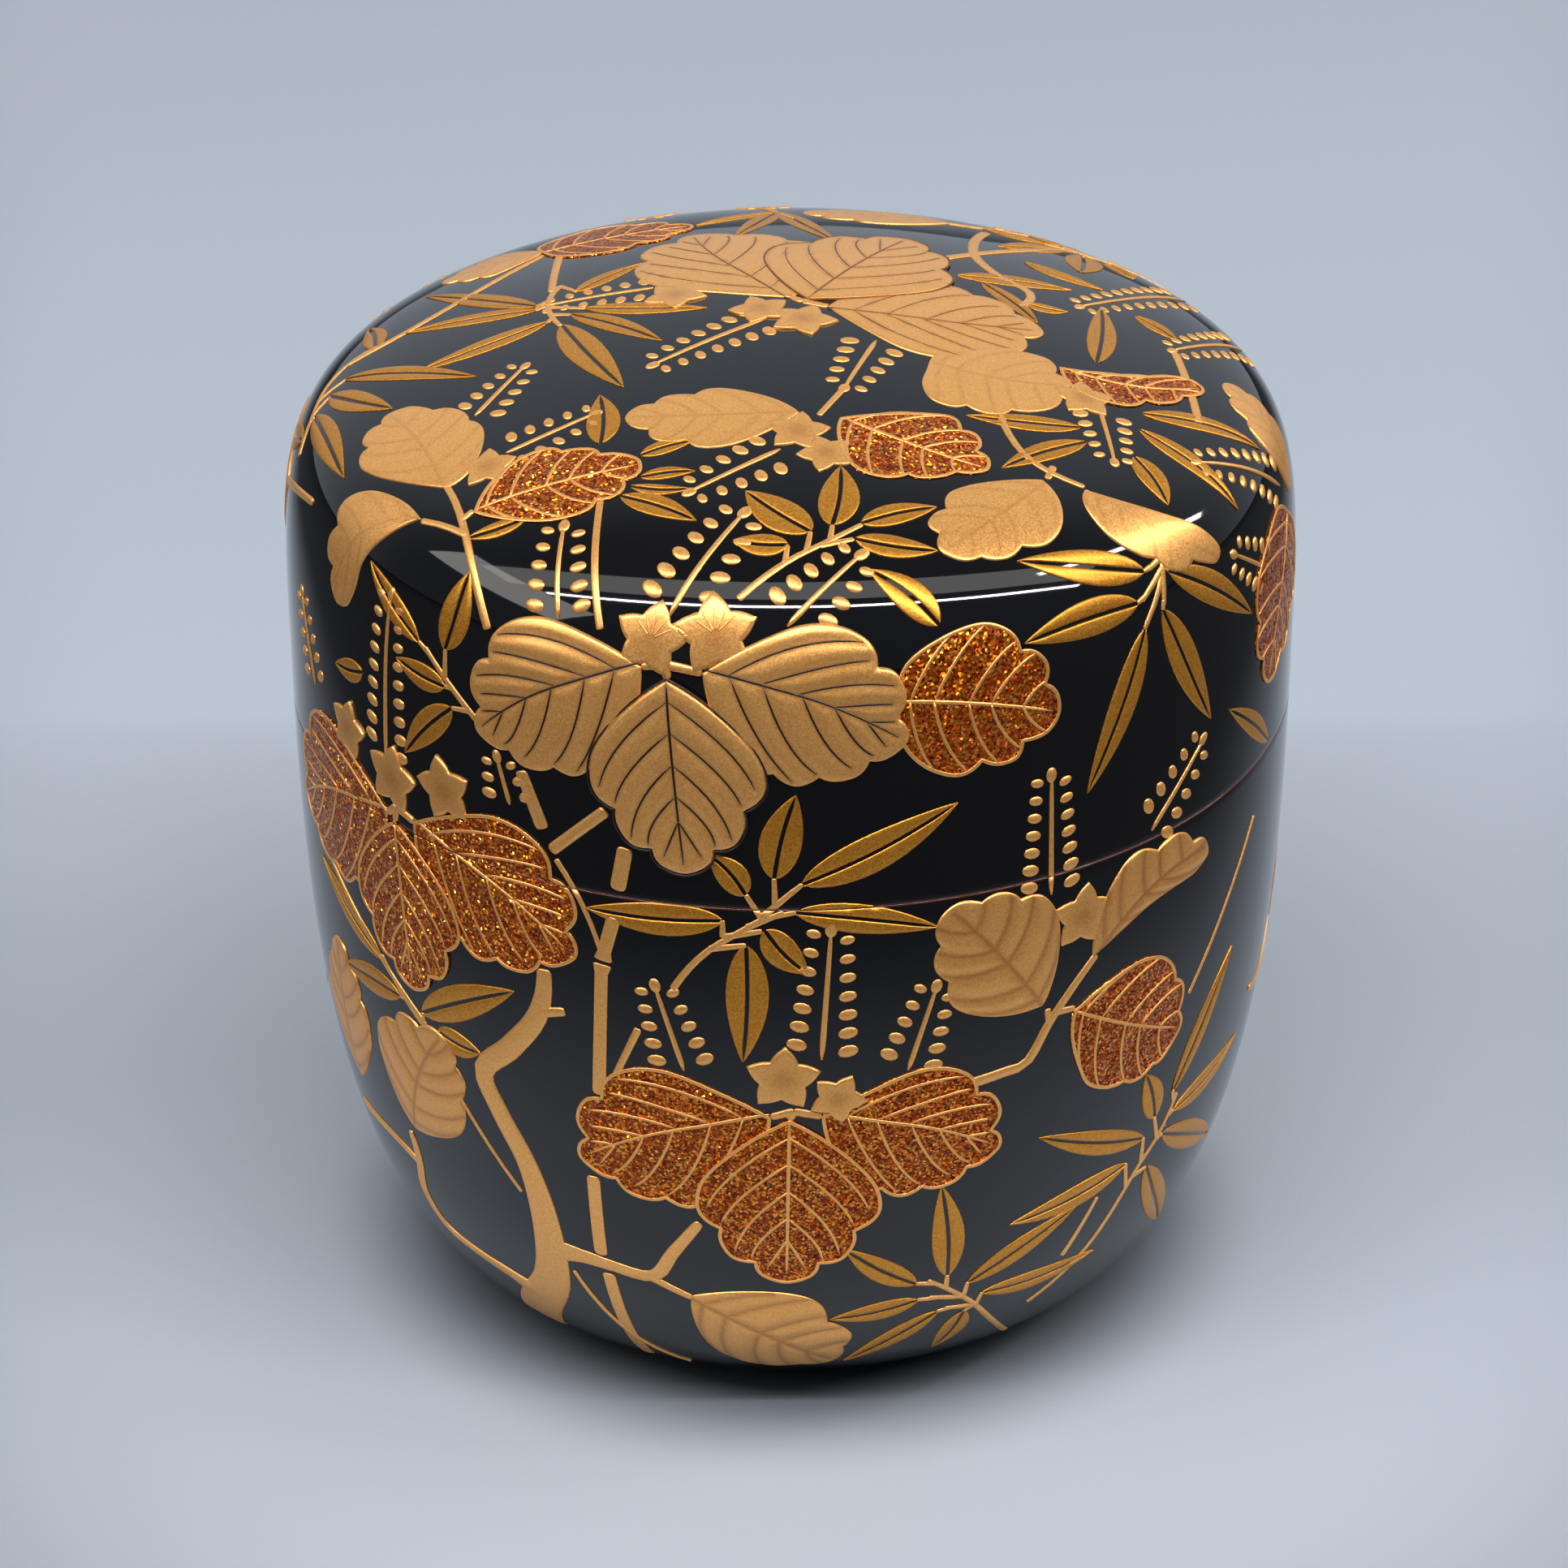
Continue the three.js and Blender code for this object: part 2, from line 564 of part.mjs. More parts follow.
// Bamboo sprigs: stem routes, and leaves from base to tip
const sprigShares = [
  {
    name: 'lid_bamboo_right',
    stemShares: [[[46.5, 0.67], [43.5, 0.656], [40, 0.634]], [[44, 0.66], [44, 0.628]]],
    leafShares: [
      [43.5, 0.657, 26.5, 0.686], [40, 0.644, 26.5, 0.637], [41, 0.632, 32.5, 0.53],
      [43.8, 0.64, 51.2, 0.541], [44.5, 0.648, 59, 0.59],
    ],
  },
  {
    name: 'lid_bamboo_left',
    stemShares: [[[-35, 0.57], [-39, 0.595], [-43, 0.614]]],
    leafShares: [
      [-42, 0.611, -53, 0.65], [-39.8, 0.6, -38.5, 0.664], [-41, 0.602, -50, 0.588],
      [-38, 0.588, -46.5, 0.532],
    ],
  },
  {
    name: 'lid_bamboo_shoulder',
    stemShares: [[[-81.5, 0.668], [-90, 0.715], [-106, 0.765]]],
    leafShares: [
      [-98, 0.74, -91.5, 0.83], [-86.5, 0.698, -71, 0.784], [-84, 0.683, -66, 0.678],
      [-92, 0.722, -106, 0.716],
    ],
  },
  {
    name: 'lid_bamboo_crown',
    stemShares: [[[-127, 0.83], [-105, 0.848], [-84, 0.846]]],
    leafShares: [
      [-92, 0.848, -110.5, 0.76], [-84, 0.848, -40, 0.84], [-84, 0.848, -49, 0.887],
      [-86, 0.846, -79.5, 0.77], [-97, 0.848, -84, 0.925],
    ],
  },
  {
    name: 'lid_bamboo_front',
    stemShares: [[[-5, 0.678], [0, 0.706], [5, 0.726]], [[2, 0.714], [16, 0.696]]],
    leafShares: [
      [3, 0.717, -7, 0.754], [4.5, 0.724, 6, 0.775], [5, 0.725, 18.5, 0.748], [2, 0.712, -8, 0.706],
    ],
  },
  {
    name: 'lid_bamboo_back',
    stemShares: [[[-150, 0.6], [-148, 0.64], [-149, 0.67]]],
    leafShares: [
      [-148.5, 0.64, -134, 0.605], [-148.5, 0.65, -135, 0.665], [-149.3, 0.612, -139, 0.555],
      [-148.5, 0.64, -159, 0.685],
    ],
  },
  {
    name: 'body_bamboo_low',
    stemShares: [[[35, 0.056], [28, 0.1], [22, 0.142], [15.5, 0.172]]],
    leafShares: [
      [15.5, 0.172, 5.8, 0.216], [19, 0.158, 17.5, 0.254], [21.5, 0.145, 33, 0.2],
      [23.5, 0.13, 33, 0.14], [17, 0.163, 5, 0.142], [20.5, 0.15, 10, 0.085],
    ],
  },
  {
    name: 'body_bamboo_right',
    stemShares: [[[39, 0.16], [42, 0.2], [46, 0.232], [43.5, 0.272]], [[46, 0.236], [50.5, 0.266]]],
    leafShares: [
      [45, 0.246, 29, 0.28], [43.5, 0.212, 27.5, 0.218], [50, 0.26, 59.5, 0.337],
      [49, 0.252, 65, 0.264], [44.8, 0.222, 64, 0.18],
    ],
  },
  {
    name: 'body_bamboo_left',
    stemShares: [[[-42, 0.318], [-46.5, 0.332], [-53.5, 0.364]]],
    leafShares: [
      [-53, 0.362, -67.5, 0.396], [-50.5, 0.35, -63.5, 0.337], [-46, 0.331, -35.5, 0.372],
      [-43, 0.322, -38.8, 0.305],
    ],
  },
  {
    name: 'body_bamboo_back',
    stemShares: [[[108, 0.08], [109, 0.14], [107, 0.2]]],
    leafShares: [
      [108.7, 0.12, 123, 0.155], [108.7, 0.14, 96, 0.17], [107.5, 0.19, 118, 0.24],
      [107.2, 0.19, 97, 0.245], [108.5, 0.1, 98, 0.09],
    ],
  },
];
const crossingSprigShares = {
  stemShares: [[[-12.5, 0.415], [-8, 0.452], [-3, 0.474], [1.5, 0.496]]],
  leafShares: [
    [-7, 0.456, -17.5, 0.46], [-0.5, 0.487, -7.5, 0.51], [0.5, 0.49, 0, 0.552],
    [1.2, 0.493, 17, 0.538], [-5, 0.464, 13, 0.452], [-4, 0.466, 0.5, 0.432], [-6, 0.456, -5, 0.368],
  ],
};

// Bare wood: routes with the width at each end
const trunkShares = [
  [
    [[-43, 0.056], [-38, 0.105], [-32, 0.146], [-29.2, 0.184], [-30.5, 0.236], [-35, 0.292],
      [-36.5, 0.326], [-31, 0.367], [-27.2, 0.408]],
    TRUNK_FOOT_WIDTH, TRUNK_TOP_WIDTH,
  ],
  [[[-30, 0.178], [-20, 0.18], [-16.5, 0.18], [-14, 0.21], [-10.5, 0.232]], BRANCH_WIDTH, BRANCH_WIDTH],
  [[[-36.5, 0.122], [-50, 0.119], [-54.5, 0.15], [-52.5, 0.2], [-60, 0.208], [-69, 0.2]],
    BRANCH_WIDTH, BRANCH_WIDTH],
];
const backTrunkShares = [
  [[[224, 0.06], [219, 0.13], [224, 0.2], [217, 0.27], [219, 0.36]], TRUNK_FOOT_WIDTH, TRUNK_TOP_WIDTH],
  [[[222, 0.19], [231, 0.22], [235, 0.28]], BRANCH_WIDTH, BRANCH_WIDTH],
  [[[220.5, 0.15], [209, 0.18], [197, 0.185]], BRANCH_WIDTH, BRANCH_WIDTH],
];
const culmShares = [
  [-23.4, 0.055], [-23.5, 0.17], [-23.3, 0.25], [-22.2, 0.33], [-20, 0.46], [-18, 0.512],
];
const backCulmShares = [[240, 0.06], [238, 0.25], [240, 0.46]];

function woodPlates(routes) {
  return fused(routes.map(([route, startWidth, endWidth], index) => {
    return stemPlate(routeCurve(route), startWidth, endWidth, WOOD_LIFT + index * FUSED_STEP);
  }));
}

function culmPlate(route) {
  return stemPlate(routeCurve(route), CULM_WIDTH, CULM_WIDTH, STEM_LIFT);
}

sprayShares.forEach((spray) => addPiece(spray.name, asGeometry(sprayPlates(spray)), spray.finish));
singleLeafShares.forEach(([name, finish, ends, widthShare]) => {
  addPiece(name, asGeometry(leafPlate(ends, widthShare * motifUnit, LEAF_LIFT)), finish);
});
sprigShares.forEach((sprig) => addPiece(sprig.name, asGeometry(sprigPlates(sprig)), oliveGold));

const crossings = [
  ['spray_left', sprayPlates(crossingSprayShares), redGold],
  ['bamboo_centre', sprigPlates(crossingSprigShares), oliveGold],
  ['culm', culmPlate(culmShares), gold],
];
crossings.forEach(([name, solid, finish]) => {
  addPiece(`lid_${name}`, asGeometry(cutAtSeam(solid, true)), finish);
  addPiece(`body_${name}`, asGeometry(cutAtSeam(solid, false)), finish);
});
addPiece('body_trunk', asGeometry(woodPlates(trunkShares)), gold);
addPiece('body_trunk_back', asGeometry(woodPlates(backTrunkShares)), gold);
addPiece('body_culm_back', asGeometry(culmPlate(backCulmShares)), gold);

export default caddy;
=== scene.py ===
# %% [markdown]
# # A lacquered tea caddy with raised gold
# The caddy is two turned pieces, a body and a lid that slides down over its collar. Both are black
# lacquer, polished until they mirror the room. Over them lie paulownia leaves, flower spikes and
# bamboo in metal powder, each built up a few tenths of a millimetre. The CAD model holds the turned
# pieces and the plain outline of each motif, and this lesson makes the fine surface around them.

# %% Load the frame
import functools
import math

import bmesh
import bpy
import numpy as np
from mathutils import Matrix, Vector


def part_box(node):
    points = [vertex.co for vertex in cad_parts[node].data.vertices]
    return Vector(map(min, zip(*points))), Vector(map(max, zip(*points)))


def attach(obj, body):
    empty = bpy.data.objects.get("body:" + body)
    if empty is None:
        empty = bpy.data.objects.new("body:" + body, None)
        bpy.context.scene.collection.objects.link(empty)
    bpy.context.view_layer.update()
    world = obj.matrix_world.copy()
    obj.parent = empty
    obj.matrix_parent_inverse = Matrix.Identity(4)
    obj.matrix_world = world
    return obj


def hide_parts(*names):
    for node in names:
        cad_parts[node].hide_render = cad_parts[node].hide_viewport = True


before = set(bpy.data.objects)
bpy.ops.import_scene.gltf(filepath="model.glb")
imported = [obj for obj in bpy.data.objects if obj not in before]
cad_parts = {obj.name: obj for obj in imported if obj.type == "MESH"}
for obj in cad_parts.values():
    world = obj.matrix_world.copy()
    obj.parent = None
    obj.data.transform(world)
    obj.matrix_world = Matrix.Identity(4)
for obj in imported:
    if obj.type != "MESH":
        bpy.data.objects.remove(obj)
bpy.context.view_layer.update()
MM = 0.001

# %% [markdown]
# ## The outline of the caddy
# Everything follows one outline: a curve up the body's side, a second one over the lid's shoulder
# and a shallow arc across the crown. It could be traced from the CAD mesh, but its facets are too
# coarse for a mirror finish. So the same two curves and arc are worked out again, with the seam and
# the top read from the frame. All sizes from here on are in millimetres.

# %% Sizes of the outline
SEAM_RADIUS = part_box("lid")[1].x / MM
SEAM_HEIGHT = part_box("lid")[0].z / MM
TOP_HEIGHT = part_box("lid")[1].z / MM
COLLAR_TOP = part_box("body")[1].z / MM
FOOT_RADIUS = 22.2
CROWN_RADIUS = 22.5
CROWN_RISE = 2.8
FOOT_ANGLE = math.radians(24)
FOOT_PULL_SHARE = 0.17
SIDE_PULL_SHARE = 0.81
SHOULDER_PULL_SHARE = 0.816
CROWN_PULL_SHARE = 1.093
SAMPLES = 2400

crown_edge = TOP_HEIGHT - CROWN_RISE
crown_arc = (CROWN_RADIUS**2 + CROWN_RISE**2) / (2 * CROWN_RISE)
crown_slope = math.asin(CROWN_RADIUS / crown_arc)


def bezier(*corners, count=SAMPLES):
    """Points along a curve with two ends and two pulls."""
    t = np.linspace(0, 1, count)[:, None]
    weights = ((1 - t) ** 3, 3 * t * (1 - t) ** 2, 3 * t**2 * (1 - t), t**3)
    return sum(weight * np.array(corner) for weight, corner in zip(weights, corners))


foot_pull = FOOT_PULL_SHARE * SEAM_HEIGHT
body_side = bezier(
    (FOOT_RADIUS, 0),
    (FOOT_RADIUS + foot_pull * math.cos(FOOT_ANGLE), foot_pull * math.sin(FOOT_ANGLE)),
    (SEAM_RADIUS, SEAM_HEIGHT * (1 - SIDE_PULL_SHARE)),
    (SEAM_RADIUS, SEAM_HEIGHT),
)
lid_height = crown_edge - SEAM_HEIGHT
crown_pull = CROWN_PULL_SHARE * (SEAM_RADIUS - CROWN_RADIUS)
lid_side = bezier(
    (SEAM_RADIUS, SEAM_HEIGHT),
    (SEAM_RADIUS, SEAM_HEIGHT + SHOULDER_PULL_SHARE * lid_height),
    (
        CROWN_RADIUS + crown_pull * math.cos(crown_slope),
        crown_edge - crown_pull * math.sin(crown_slope),
    ),
    (CROWN_RADIUS, crown_edge),
)
slope = np.linspace(crown_slope, 0, SAMPLES)
crown = np.stack(
    (crown_arc * np.sin(slope), TOP_HEIGHT - crown_arc * (1 - np.cos(slope))), axis=1
)


def evenly(points, count):
    """The same line with points an even way apart."""
    steps = np.linalg.norm(np.diff(points, axis=0), axis=1)
    along = np.concatenate(([0], np.cumsum(steps)))
    wanted = np.linspace(0, along[-1], count)
    return np.stack([np.interp(wanted, along, column) for column in points.T], axis=1)


outline = evenly(np.concatenate((body_side, lid_side[1:], crown[1:])), SAMPLES + 1)
outline_length = np.linalg.norm(np.diff(outline, axis=0), axis=1).sum()
outline_share = np.linspace(0, 1, SAMPLES + 1)
tangent = np.gradient(outline, axis=0)
tangent /= np.linalg.norm(tangent, axis=1, keepdims=True)
heart = SEAM_HEIGHT * SIDE_PULL_SHARE
bearing = np.arctan2(outline[:, 1] - heart, outline[:, 0])
print(f"outline {outline_length:.2f} mm long, seam at radius {SEAM_RADIUS:.2f}")

# %% [markdown]
# ## Finding places on the curved surface
# A motif is drawn flat, in its own small sheet of paper: sideways and ahead. To lay it on the caddy
# the script walks from the motif's base straight ahead over the surface, as a strip of gold leaf
# would lie. A projection from the front would be quicker, but it stretches whatever lies near the
# edge. A place is an azimuth in degrees, 0 at the front and growing to the right, and a share of the
# outline, 0 at the foot and 1 in the middle of the crown.

# %% The surface
WALK_STEPS = 10
TINY = 1e-9


def unit(vectors):
    return vectors / np.maximum(np.linalg.norm(vectors, axis=-1, keepdims=True), TINY)


def dot(one, other):
    return (one * other).sum(axis=-1, keepdims=True)


def on_surface(points):
    """The places under some points: positions and outward normals."""
    radius = np.hypot(points[:, 0], points[:, 1])
    share = np.interp(np.arctan2(points[:, 2] - heart, radius), bearing, outline_share)
    r, z = (np.interp(share, outline_share, column) for column in outline.T)
    dr, dz = (np.interp(share, outline_share, column) for column in tangent.T)
    outward = points[:, :2] / np.maximum(radius, TINY)[:, None]
    position = np.column_stack((r[:, None] * outward, z))
    normal = np.column_stack((dz[:, None] * outward, -dr))
    return position, unit(normal)


def place(azimuth, share):
    """The position and normal at an azimuth in degrees and a share of the outline."""
    angle = math.radians(azimuth)
    r, z = (np.interp(share, outline_share, column) for column in outline.T)
    position, normal = on_surface(np.array([[r * math.sin(angle), -r * math.cos(angle), z]]))
    return position[0], normal[0]


def walk(position, direction, distance):
    """Walks straight ahead over the surface from each position."""
    for _ in range(WALK_STEPS):
        position, normal = on_surface(position + direction * distance / WALK_STEPS)
        direction = unit(direction - dot(direction, normal) * normal)
    return position, normal


print(f"front middle: height {place(0, 0.5)[0][2]:.2f} mm halfway along the outline")

# %% [markdown]
# ### Sheets and strips of paper
# A way is one sheet of paper, for a leaf or a flower. A route is a strip along a stem that bends.
# Both answer the same question, where on the caddy a point of the paper lands, so one function can
# lay a shape on either.

# %% Ways and routes
LINE_POINTS = 400


def smooth_line(knots, steps=12):
    """A smooth line through some points, with a few steps between each two."""
    knots = np.asarray(knots, float)
    gaps = np.sqrt(np.linalg.norm(np.diff(knots, axis=0), axis=1))
    at_knot = np.concatenate(([0], np.cumsum(gaps)))
    slopes = np.gradient(knots, at_knot, axis=0, edge_order=min(2, len(gaps)))
    t = np.linspace(0, 1, steps, endpoint=False)[:, None]
    pieces = [
        (2 * t**3 - 3 * t**2 + 1) * start + (t**3 - 2 * t**2 + t) * leave * gap
        + (3 * t**2 - 2 * t**3) * end + (t**3 - t**2) * arrive * gap
        for start, end, leave, arrive, gap in zip(knots, knots[1:], slopes, slopes[1:], gaps)
    ]
    return np.concatenate((*pieces, knots[-1:]))


class Way:
    """A sheet of paper from one place towards another: x is sideways and y is ahead."""

    def __init__(self, base, tip):
        self.start, normal = place(*base)
        end = place(*tip)[0]
        chord = end - self.start
        self.heading = unit(chord - dot(chord, normal) * normal)
        self.sideways = np.cross(self.heading, normal)
        reached = walk(self.start[None], self.heading[None], np.linalg.norm(chord))[0][0]
        self.length = np.linalg.norm(chord) + np.linalg.norm(reached - end)

    def at(self, x, y):
        direction = self.sideways * x[:, None] + self.heading * y[:, None]
        distance = np.hypot(x, y)[:, None]
        return walk(np.tile(self.start, (len(x), 1)), unit(direction), distance)


class Route:
    """A smooth line through some positions: x is sideways and y runs along it."""

    def __init__(self, positions, steps=40):
        line = on_surface(smooth_line(positions, steps))[0]
        stretches = np.linalg.norm(np.diff(line, axis=0), axis=1)
        self.at_knot = np.concatenate(([0], np.cumsum(stretches)))[::steps]
        self.length = self.at_knot[-1]
        self.line = evenly(line, LINE_POINTS)
        self.ahead = unit(np.gradient(self.line, axis=0))
        self.along = np.linspace(0, self.length, LINE_POINTS)

    def at(self, x, y):
        position = np.stack([np.interp(y, self.along, column) for column in self.line.T], axis=1)
        ahead = np.stack([np.interp(y, self.along, column) for column in self.ahead.T], axis=1)
        normal = on_surface(position)[1]
        return on_surface(position + unit(np.cross(ahead, normal)) * x[:, None])


test_way = Way((-13, 0.63), (-11.5, 0.4985))
print(f"front leaf: {test_way.length:.2f} mm from its joint to its tip")

# %% [markdown]
# ## Turning the wood
# On the lathe both pieces come from one block, with the collar cut on the body and a straight socket
# in the lid. Here the profile is drawn as a few vertices and spun once round, which is the same
# operation. The corners at the seam are broken by a hair, so the joint shows as a fine line.

# %% Body and lid profiles
LID_WALL = 1.8
LID_CLEARANCE = 0.2
COLLAR_WALL = 1.4
COLLAR_EDGE = 0.4
FLOOR_THICKNESS = 3.6
FOOT_RING_WIDTH = 3
FOOT_RECESS = 0.6
FOOT_EDGE = 0.3
SEAM_EDGE = 0.09
CORNER_STEPS = 5
PROFILE_STEPS = 72
socket = np.interp(COLLAR_TOP, lid_side[:, 1], lid_side[:, 0]) - LID_WALL
collar = socket - LID_CLEARANCE
chamber = collar - COLLAR_WALL


def corner(centre, radius, start, end, steps=CORNER_STEPS):
    """A rounded corner: points on an arc between two angles in degrees."""
    angles = np.radians(np.linspace(start, end, steps + 1))
    return [(centre[0] + radius * math.cos(a), centre[1] + radius * math.sin(a)) for a in angles]


def inwards(line, wall, steps):
    """A line moved inwards by a wall."""
    points = evenly(line, steps)
    along = np.gradient(points, axis=0)
    along /= np.linalg.norm(along, axis=1, keepdims=True)
    return points + wall * np.stack((-along[:, 1], along[:, 0]), axis=1)


def body_profile():
    inside_foot = FOOT_RADIUS - FOOT_RING_WIDTH
    side = evenly(body_side, PROFILE_STEPS)
    side = [tuple(point) for point in side if FOOT_EDGE < point[1] < SEAM_HEIGHT - SEAM_EDGE]
    wall = inwards(body_side, SEAM_RADIUS - chamber, PROFILE_STEPS // 2)
    wall = [tuple(point) for point in wall[::-1] if point[1] > FLOOR_THICKNESS + COLLAR_EDGE]
    return [
        (0, FOOT_RECESS),
        (inside_foot - FOOT_RECESS, FOOT_RECESS),
        *corner((inside_foot + FOOT_RECESS / 2, FOOT_RECESS / 2), FOOT_RECESS / 2, 180, 270),
        (FOOT_RADIUS, 0),
        *side,
        *corner((SEAM_RADIUS - SEAM_EDGE, SEAM_HEIGHT - SEAM_EDGE), SEAM_EDGE, 0, 90),
        (collar, SEAM_HEIGHT),
        *corner((collar - COLLAR_EDGE, COLLAR_TOP - COLLAR_EDGE), COLLAR_EDGE, 0, 90),
        *corner((chamber + COLLAR_EDGE, COLLAR_TOP - COLLAR_EDGE), COLLAR_EDGE, 90, 180),
        *wall,
        (wall[-1][0] - FLOOR_THICKNESS / 2, FLOOR_THICKNESS),
        (0, FLOOR_THICKNESS),
    ]


def lid_profile():
    ceiling = inwards(crown, LID_WALL, PROFILE_STEPS // 3)[::-1]
    ceiling[0, 0] = 0
    shoulder = inwards(lid_side, LID_WALL, PROFILE_STEPS)
    shoulder = [tuple(p) for p in shoulder[::-1] if p[1] > COLLAR_TOP and p[0] < socket]
    side = evenly(lid_side, PROFILE_STEPS)
    side = [tuple(point) for point in side if point[1] > SEAM_HEIGHT + SEAM_EDGE]
    return [
        *(tuple(point) for point in ceiling),
        *shoulder[1:],
        (socket, COLLAR_TOP),
        *corner((socket + COLLAR_EDGE, SEAM_HEIGHT + COLLAR_EDGE), COLLAR_EDGE, 180, 270),
        *corner((SEAM_RADIUS - SEAM_EDGE, SEAM_HEIGHT + SEAM_EDGE), SEAM_EDGE, 270, 360),
        *side,
        *(tuple(point) for point in evenly(crown, PROFILE_STEPS // 2)[1:]),
    ]


print(f"collar {collar:.2f} mm and socket {socket:.2f} mm in radius")

# %% [markdown]
# ### Spinning the profiles
# The spin operator turns a row of vertices round the axis and joins each step to the last. A full
# turn needs use_merge, which closes it, and the vertices on the axis are merged afterwards. The same
# few helpers make the blanks for the gold further down.

# %% Spin the profiles
TURN_STEPS = 256


def drawn(bm, points):
    """A row of vertices with an edge from each to the next."""
    row = [bm.verts.new(point) for point in points]
    return row + [bm.edges.new(pair) for pair in zip(row, row[1:])]


def spun(bm, shape, steps):
    """Spins a shape once round the upright axis."""
    bmesh.ops.spin(
        bm, geom=shape, axis=(0, 0, 1), cent=(0, 0, 0), steps=steps, angle=math.tau, use_merge=True
    )


def closed_mesh(bm, name, gap):
    """The finished mesh: doubles merged, faces outwards and smooth."""
    bmesh.ops.remove_doubles(bm, verts=bm.verts[:], dist=gap)
    bmesh.ops.recalc_face_normals(bm, faces=bm.faces[:])
    for face in bm.faces:
        face.smooth = True
    return as_mesh(bm, name)


def as_mesh(bm, name):
    mesh = bpy.data.meshes.new(name)
    bm.to_mesh(mesh)
    bm.free()
    return mesh


def in_scene(name, data):
    """A new object in the scene, at the origin."""
    made = bpy.data.objects.new(name, data)
    bpy.context.scene.collection.objects.link(made)
    return made


def turned(name, profile):
    """A turned piece from its profile of radius and height."""
    bm = bmesh.new()
    spun(bm, drawn(bm, [(radius * MM, 0, height * MM) for radius, height in profile]), TURN_STEPS)
    mesh = closed_mesh(bm, name, MM / 1000)
    print(f"{name}: {len(mesh.vertices)} vertices, {len(profile)} points in its profile")
    return in_scene(name, mesh)


caddy_body = turned("caddy_body", body_profile())
caddy_lid = turned("caddy_lid", lid_profile())

# %% [markdown]
# ## Blanks for the gold
# Every raised shape is one of three blanks: a round pad for leaves, petals and seeds, a bar for
# stems and veins, and a ring for a leaf's rim. Each is made once by a mesh operator, with its rings
# numbered by height. A shape then copies the blank and moves its vertices to the surface, so all of
# them are closed and none needs a hand-made list of faces.

# %% Pad, bar and ring blanks
UNDER_RINGS = 3
HOOP_RADIUS = 4


class Blank:
    """A closed mesh whose vertices are moved into place, shape after shape."""

    def __init__(self, bm):
        self.mesh = closed_mesh(bm, "blank", MM)
        points = np.empty(3 * len(self.mesh.vertices))
        self.mesh.vertices.foreach_get("co", points)
        self.points = points.reshape(-1, 3)

    def count_spokes(self, spokes):
        """Numbers the spokes clockwise as seen from above."""
        turn = -np.arctan2(self.points[:, 1], self.points[:, 0]) / math.tau
        self.spoke = np.rint(turn * spokes).astype(int) % spokes


@functools.cache
def pad_blank(rings, spokes, edge_rings):
    """A spinning-top shape: its rings are the pad's top, then its edge, then its underside."""
    out = rings + edge_rings
    radii = [*range(out + 1), *np.linspace(out, 0, UNDER_RINGS + 1)[1:]]
    bm = bmesh.new()
    spun(bm, drawn(bm, [(radius, 0, -index) for index, radius in enumerate(radii)]), spokes)
    blank = Blank(bm)
    blank.count_spokes(spokes)
    ring = np.rint(-blank.points[:, 2]).astype(int)
    blank.under = np.clip((out + UNDER_RINGS - ring) / UNDER_RINGS, 0, 1)
    blank.below = ring > out
    blank.inner = np.clip(ring / rings, 0, 1)
    quarter = np.clip((ring - rings) / edge_rings, 0, 1) * math.pi / 2
    blank.outer = np.sin(quarter)
    blank.rise = np.cos(quarter)
    return blank


@functools.cache
def bar_blank(rows, sides):
    """A rod: rows along it, and a cross-section that starts at its right edge."""
    bm = bmesh.new()
    bmesh.ops.create_cone(bm, cap_ends=True, segments=sides, radius1=1, radius2=1, depth=rows)
    long = [e for e in bm.edges if abs(e.verts[0].co.z - e.verts[1].co.z) > rows / 2]
    bmesh.ops.subdivide_edges(bm, edges=long, cuts=rows - 1)
    blank = Blank(bm)
    blank.row = np.rint(blank.points[:, 2] + rows / 2).astype(int)
    blank.round = np.arctan2(blank.points[:, 1], blank.points[:, 0])
    return blank


@functools.cache
def ring_blank(spokes, sides):
    """A hoop round the upright axis."""
    bm = bmesh.new()
    bmesh.ops.create_circle(bm, segments=sides, radius=1)
    bmesh.ops.rotate(
        bm, verts=bm.verts[:], cent=(0, 0, 0), matrix=Matrix.Rotation(math.pi / 2, 3, "X")
    )
    bmesh.ops.translate(bm, verts=bm.verts[:], vec=(HOOP_RADIUS, 0, 0))
    spun(bm, bm.verts[:] + bm.edges[:], spokes)
    blank = Blank(bm)
    blank.count_spokes(spokes)
    x, y, z = blank.points.T
    blank.round = np.arctan2(z, np.hypot(x, y) - HOOP_RADIUS)
    return blank


print("leaf blank:", len(pad_blank(36, 240, 4).points), "vertices")

# %% [markdown]
# ## Gathering shapes into a piece
# A motif is one piece of the caddy, however many shapes it holds, because it is lifted off with the
# lid or stays with the body as one. The helper gathers copies of the blanks, remembers where each
# vertex goes and how darkly it is shaded, and makes the mesh at the end. A motif that runs over the
# seam is cut there with a plane and closed again.

# %% The motif helper
SEAM_GAP = 0.06


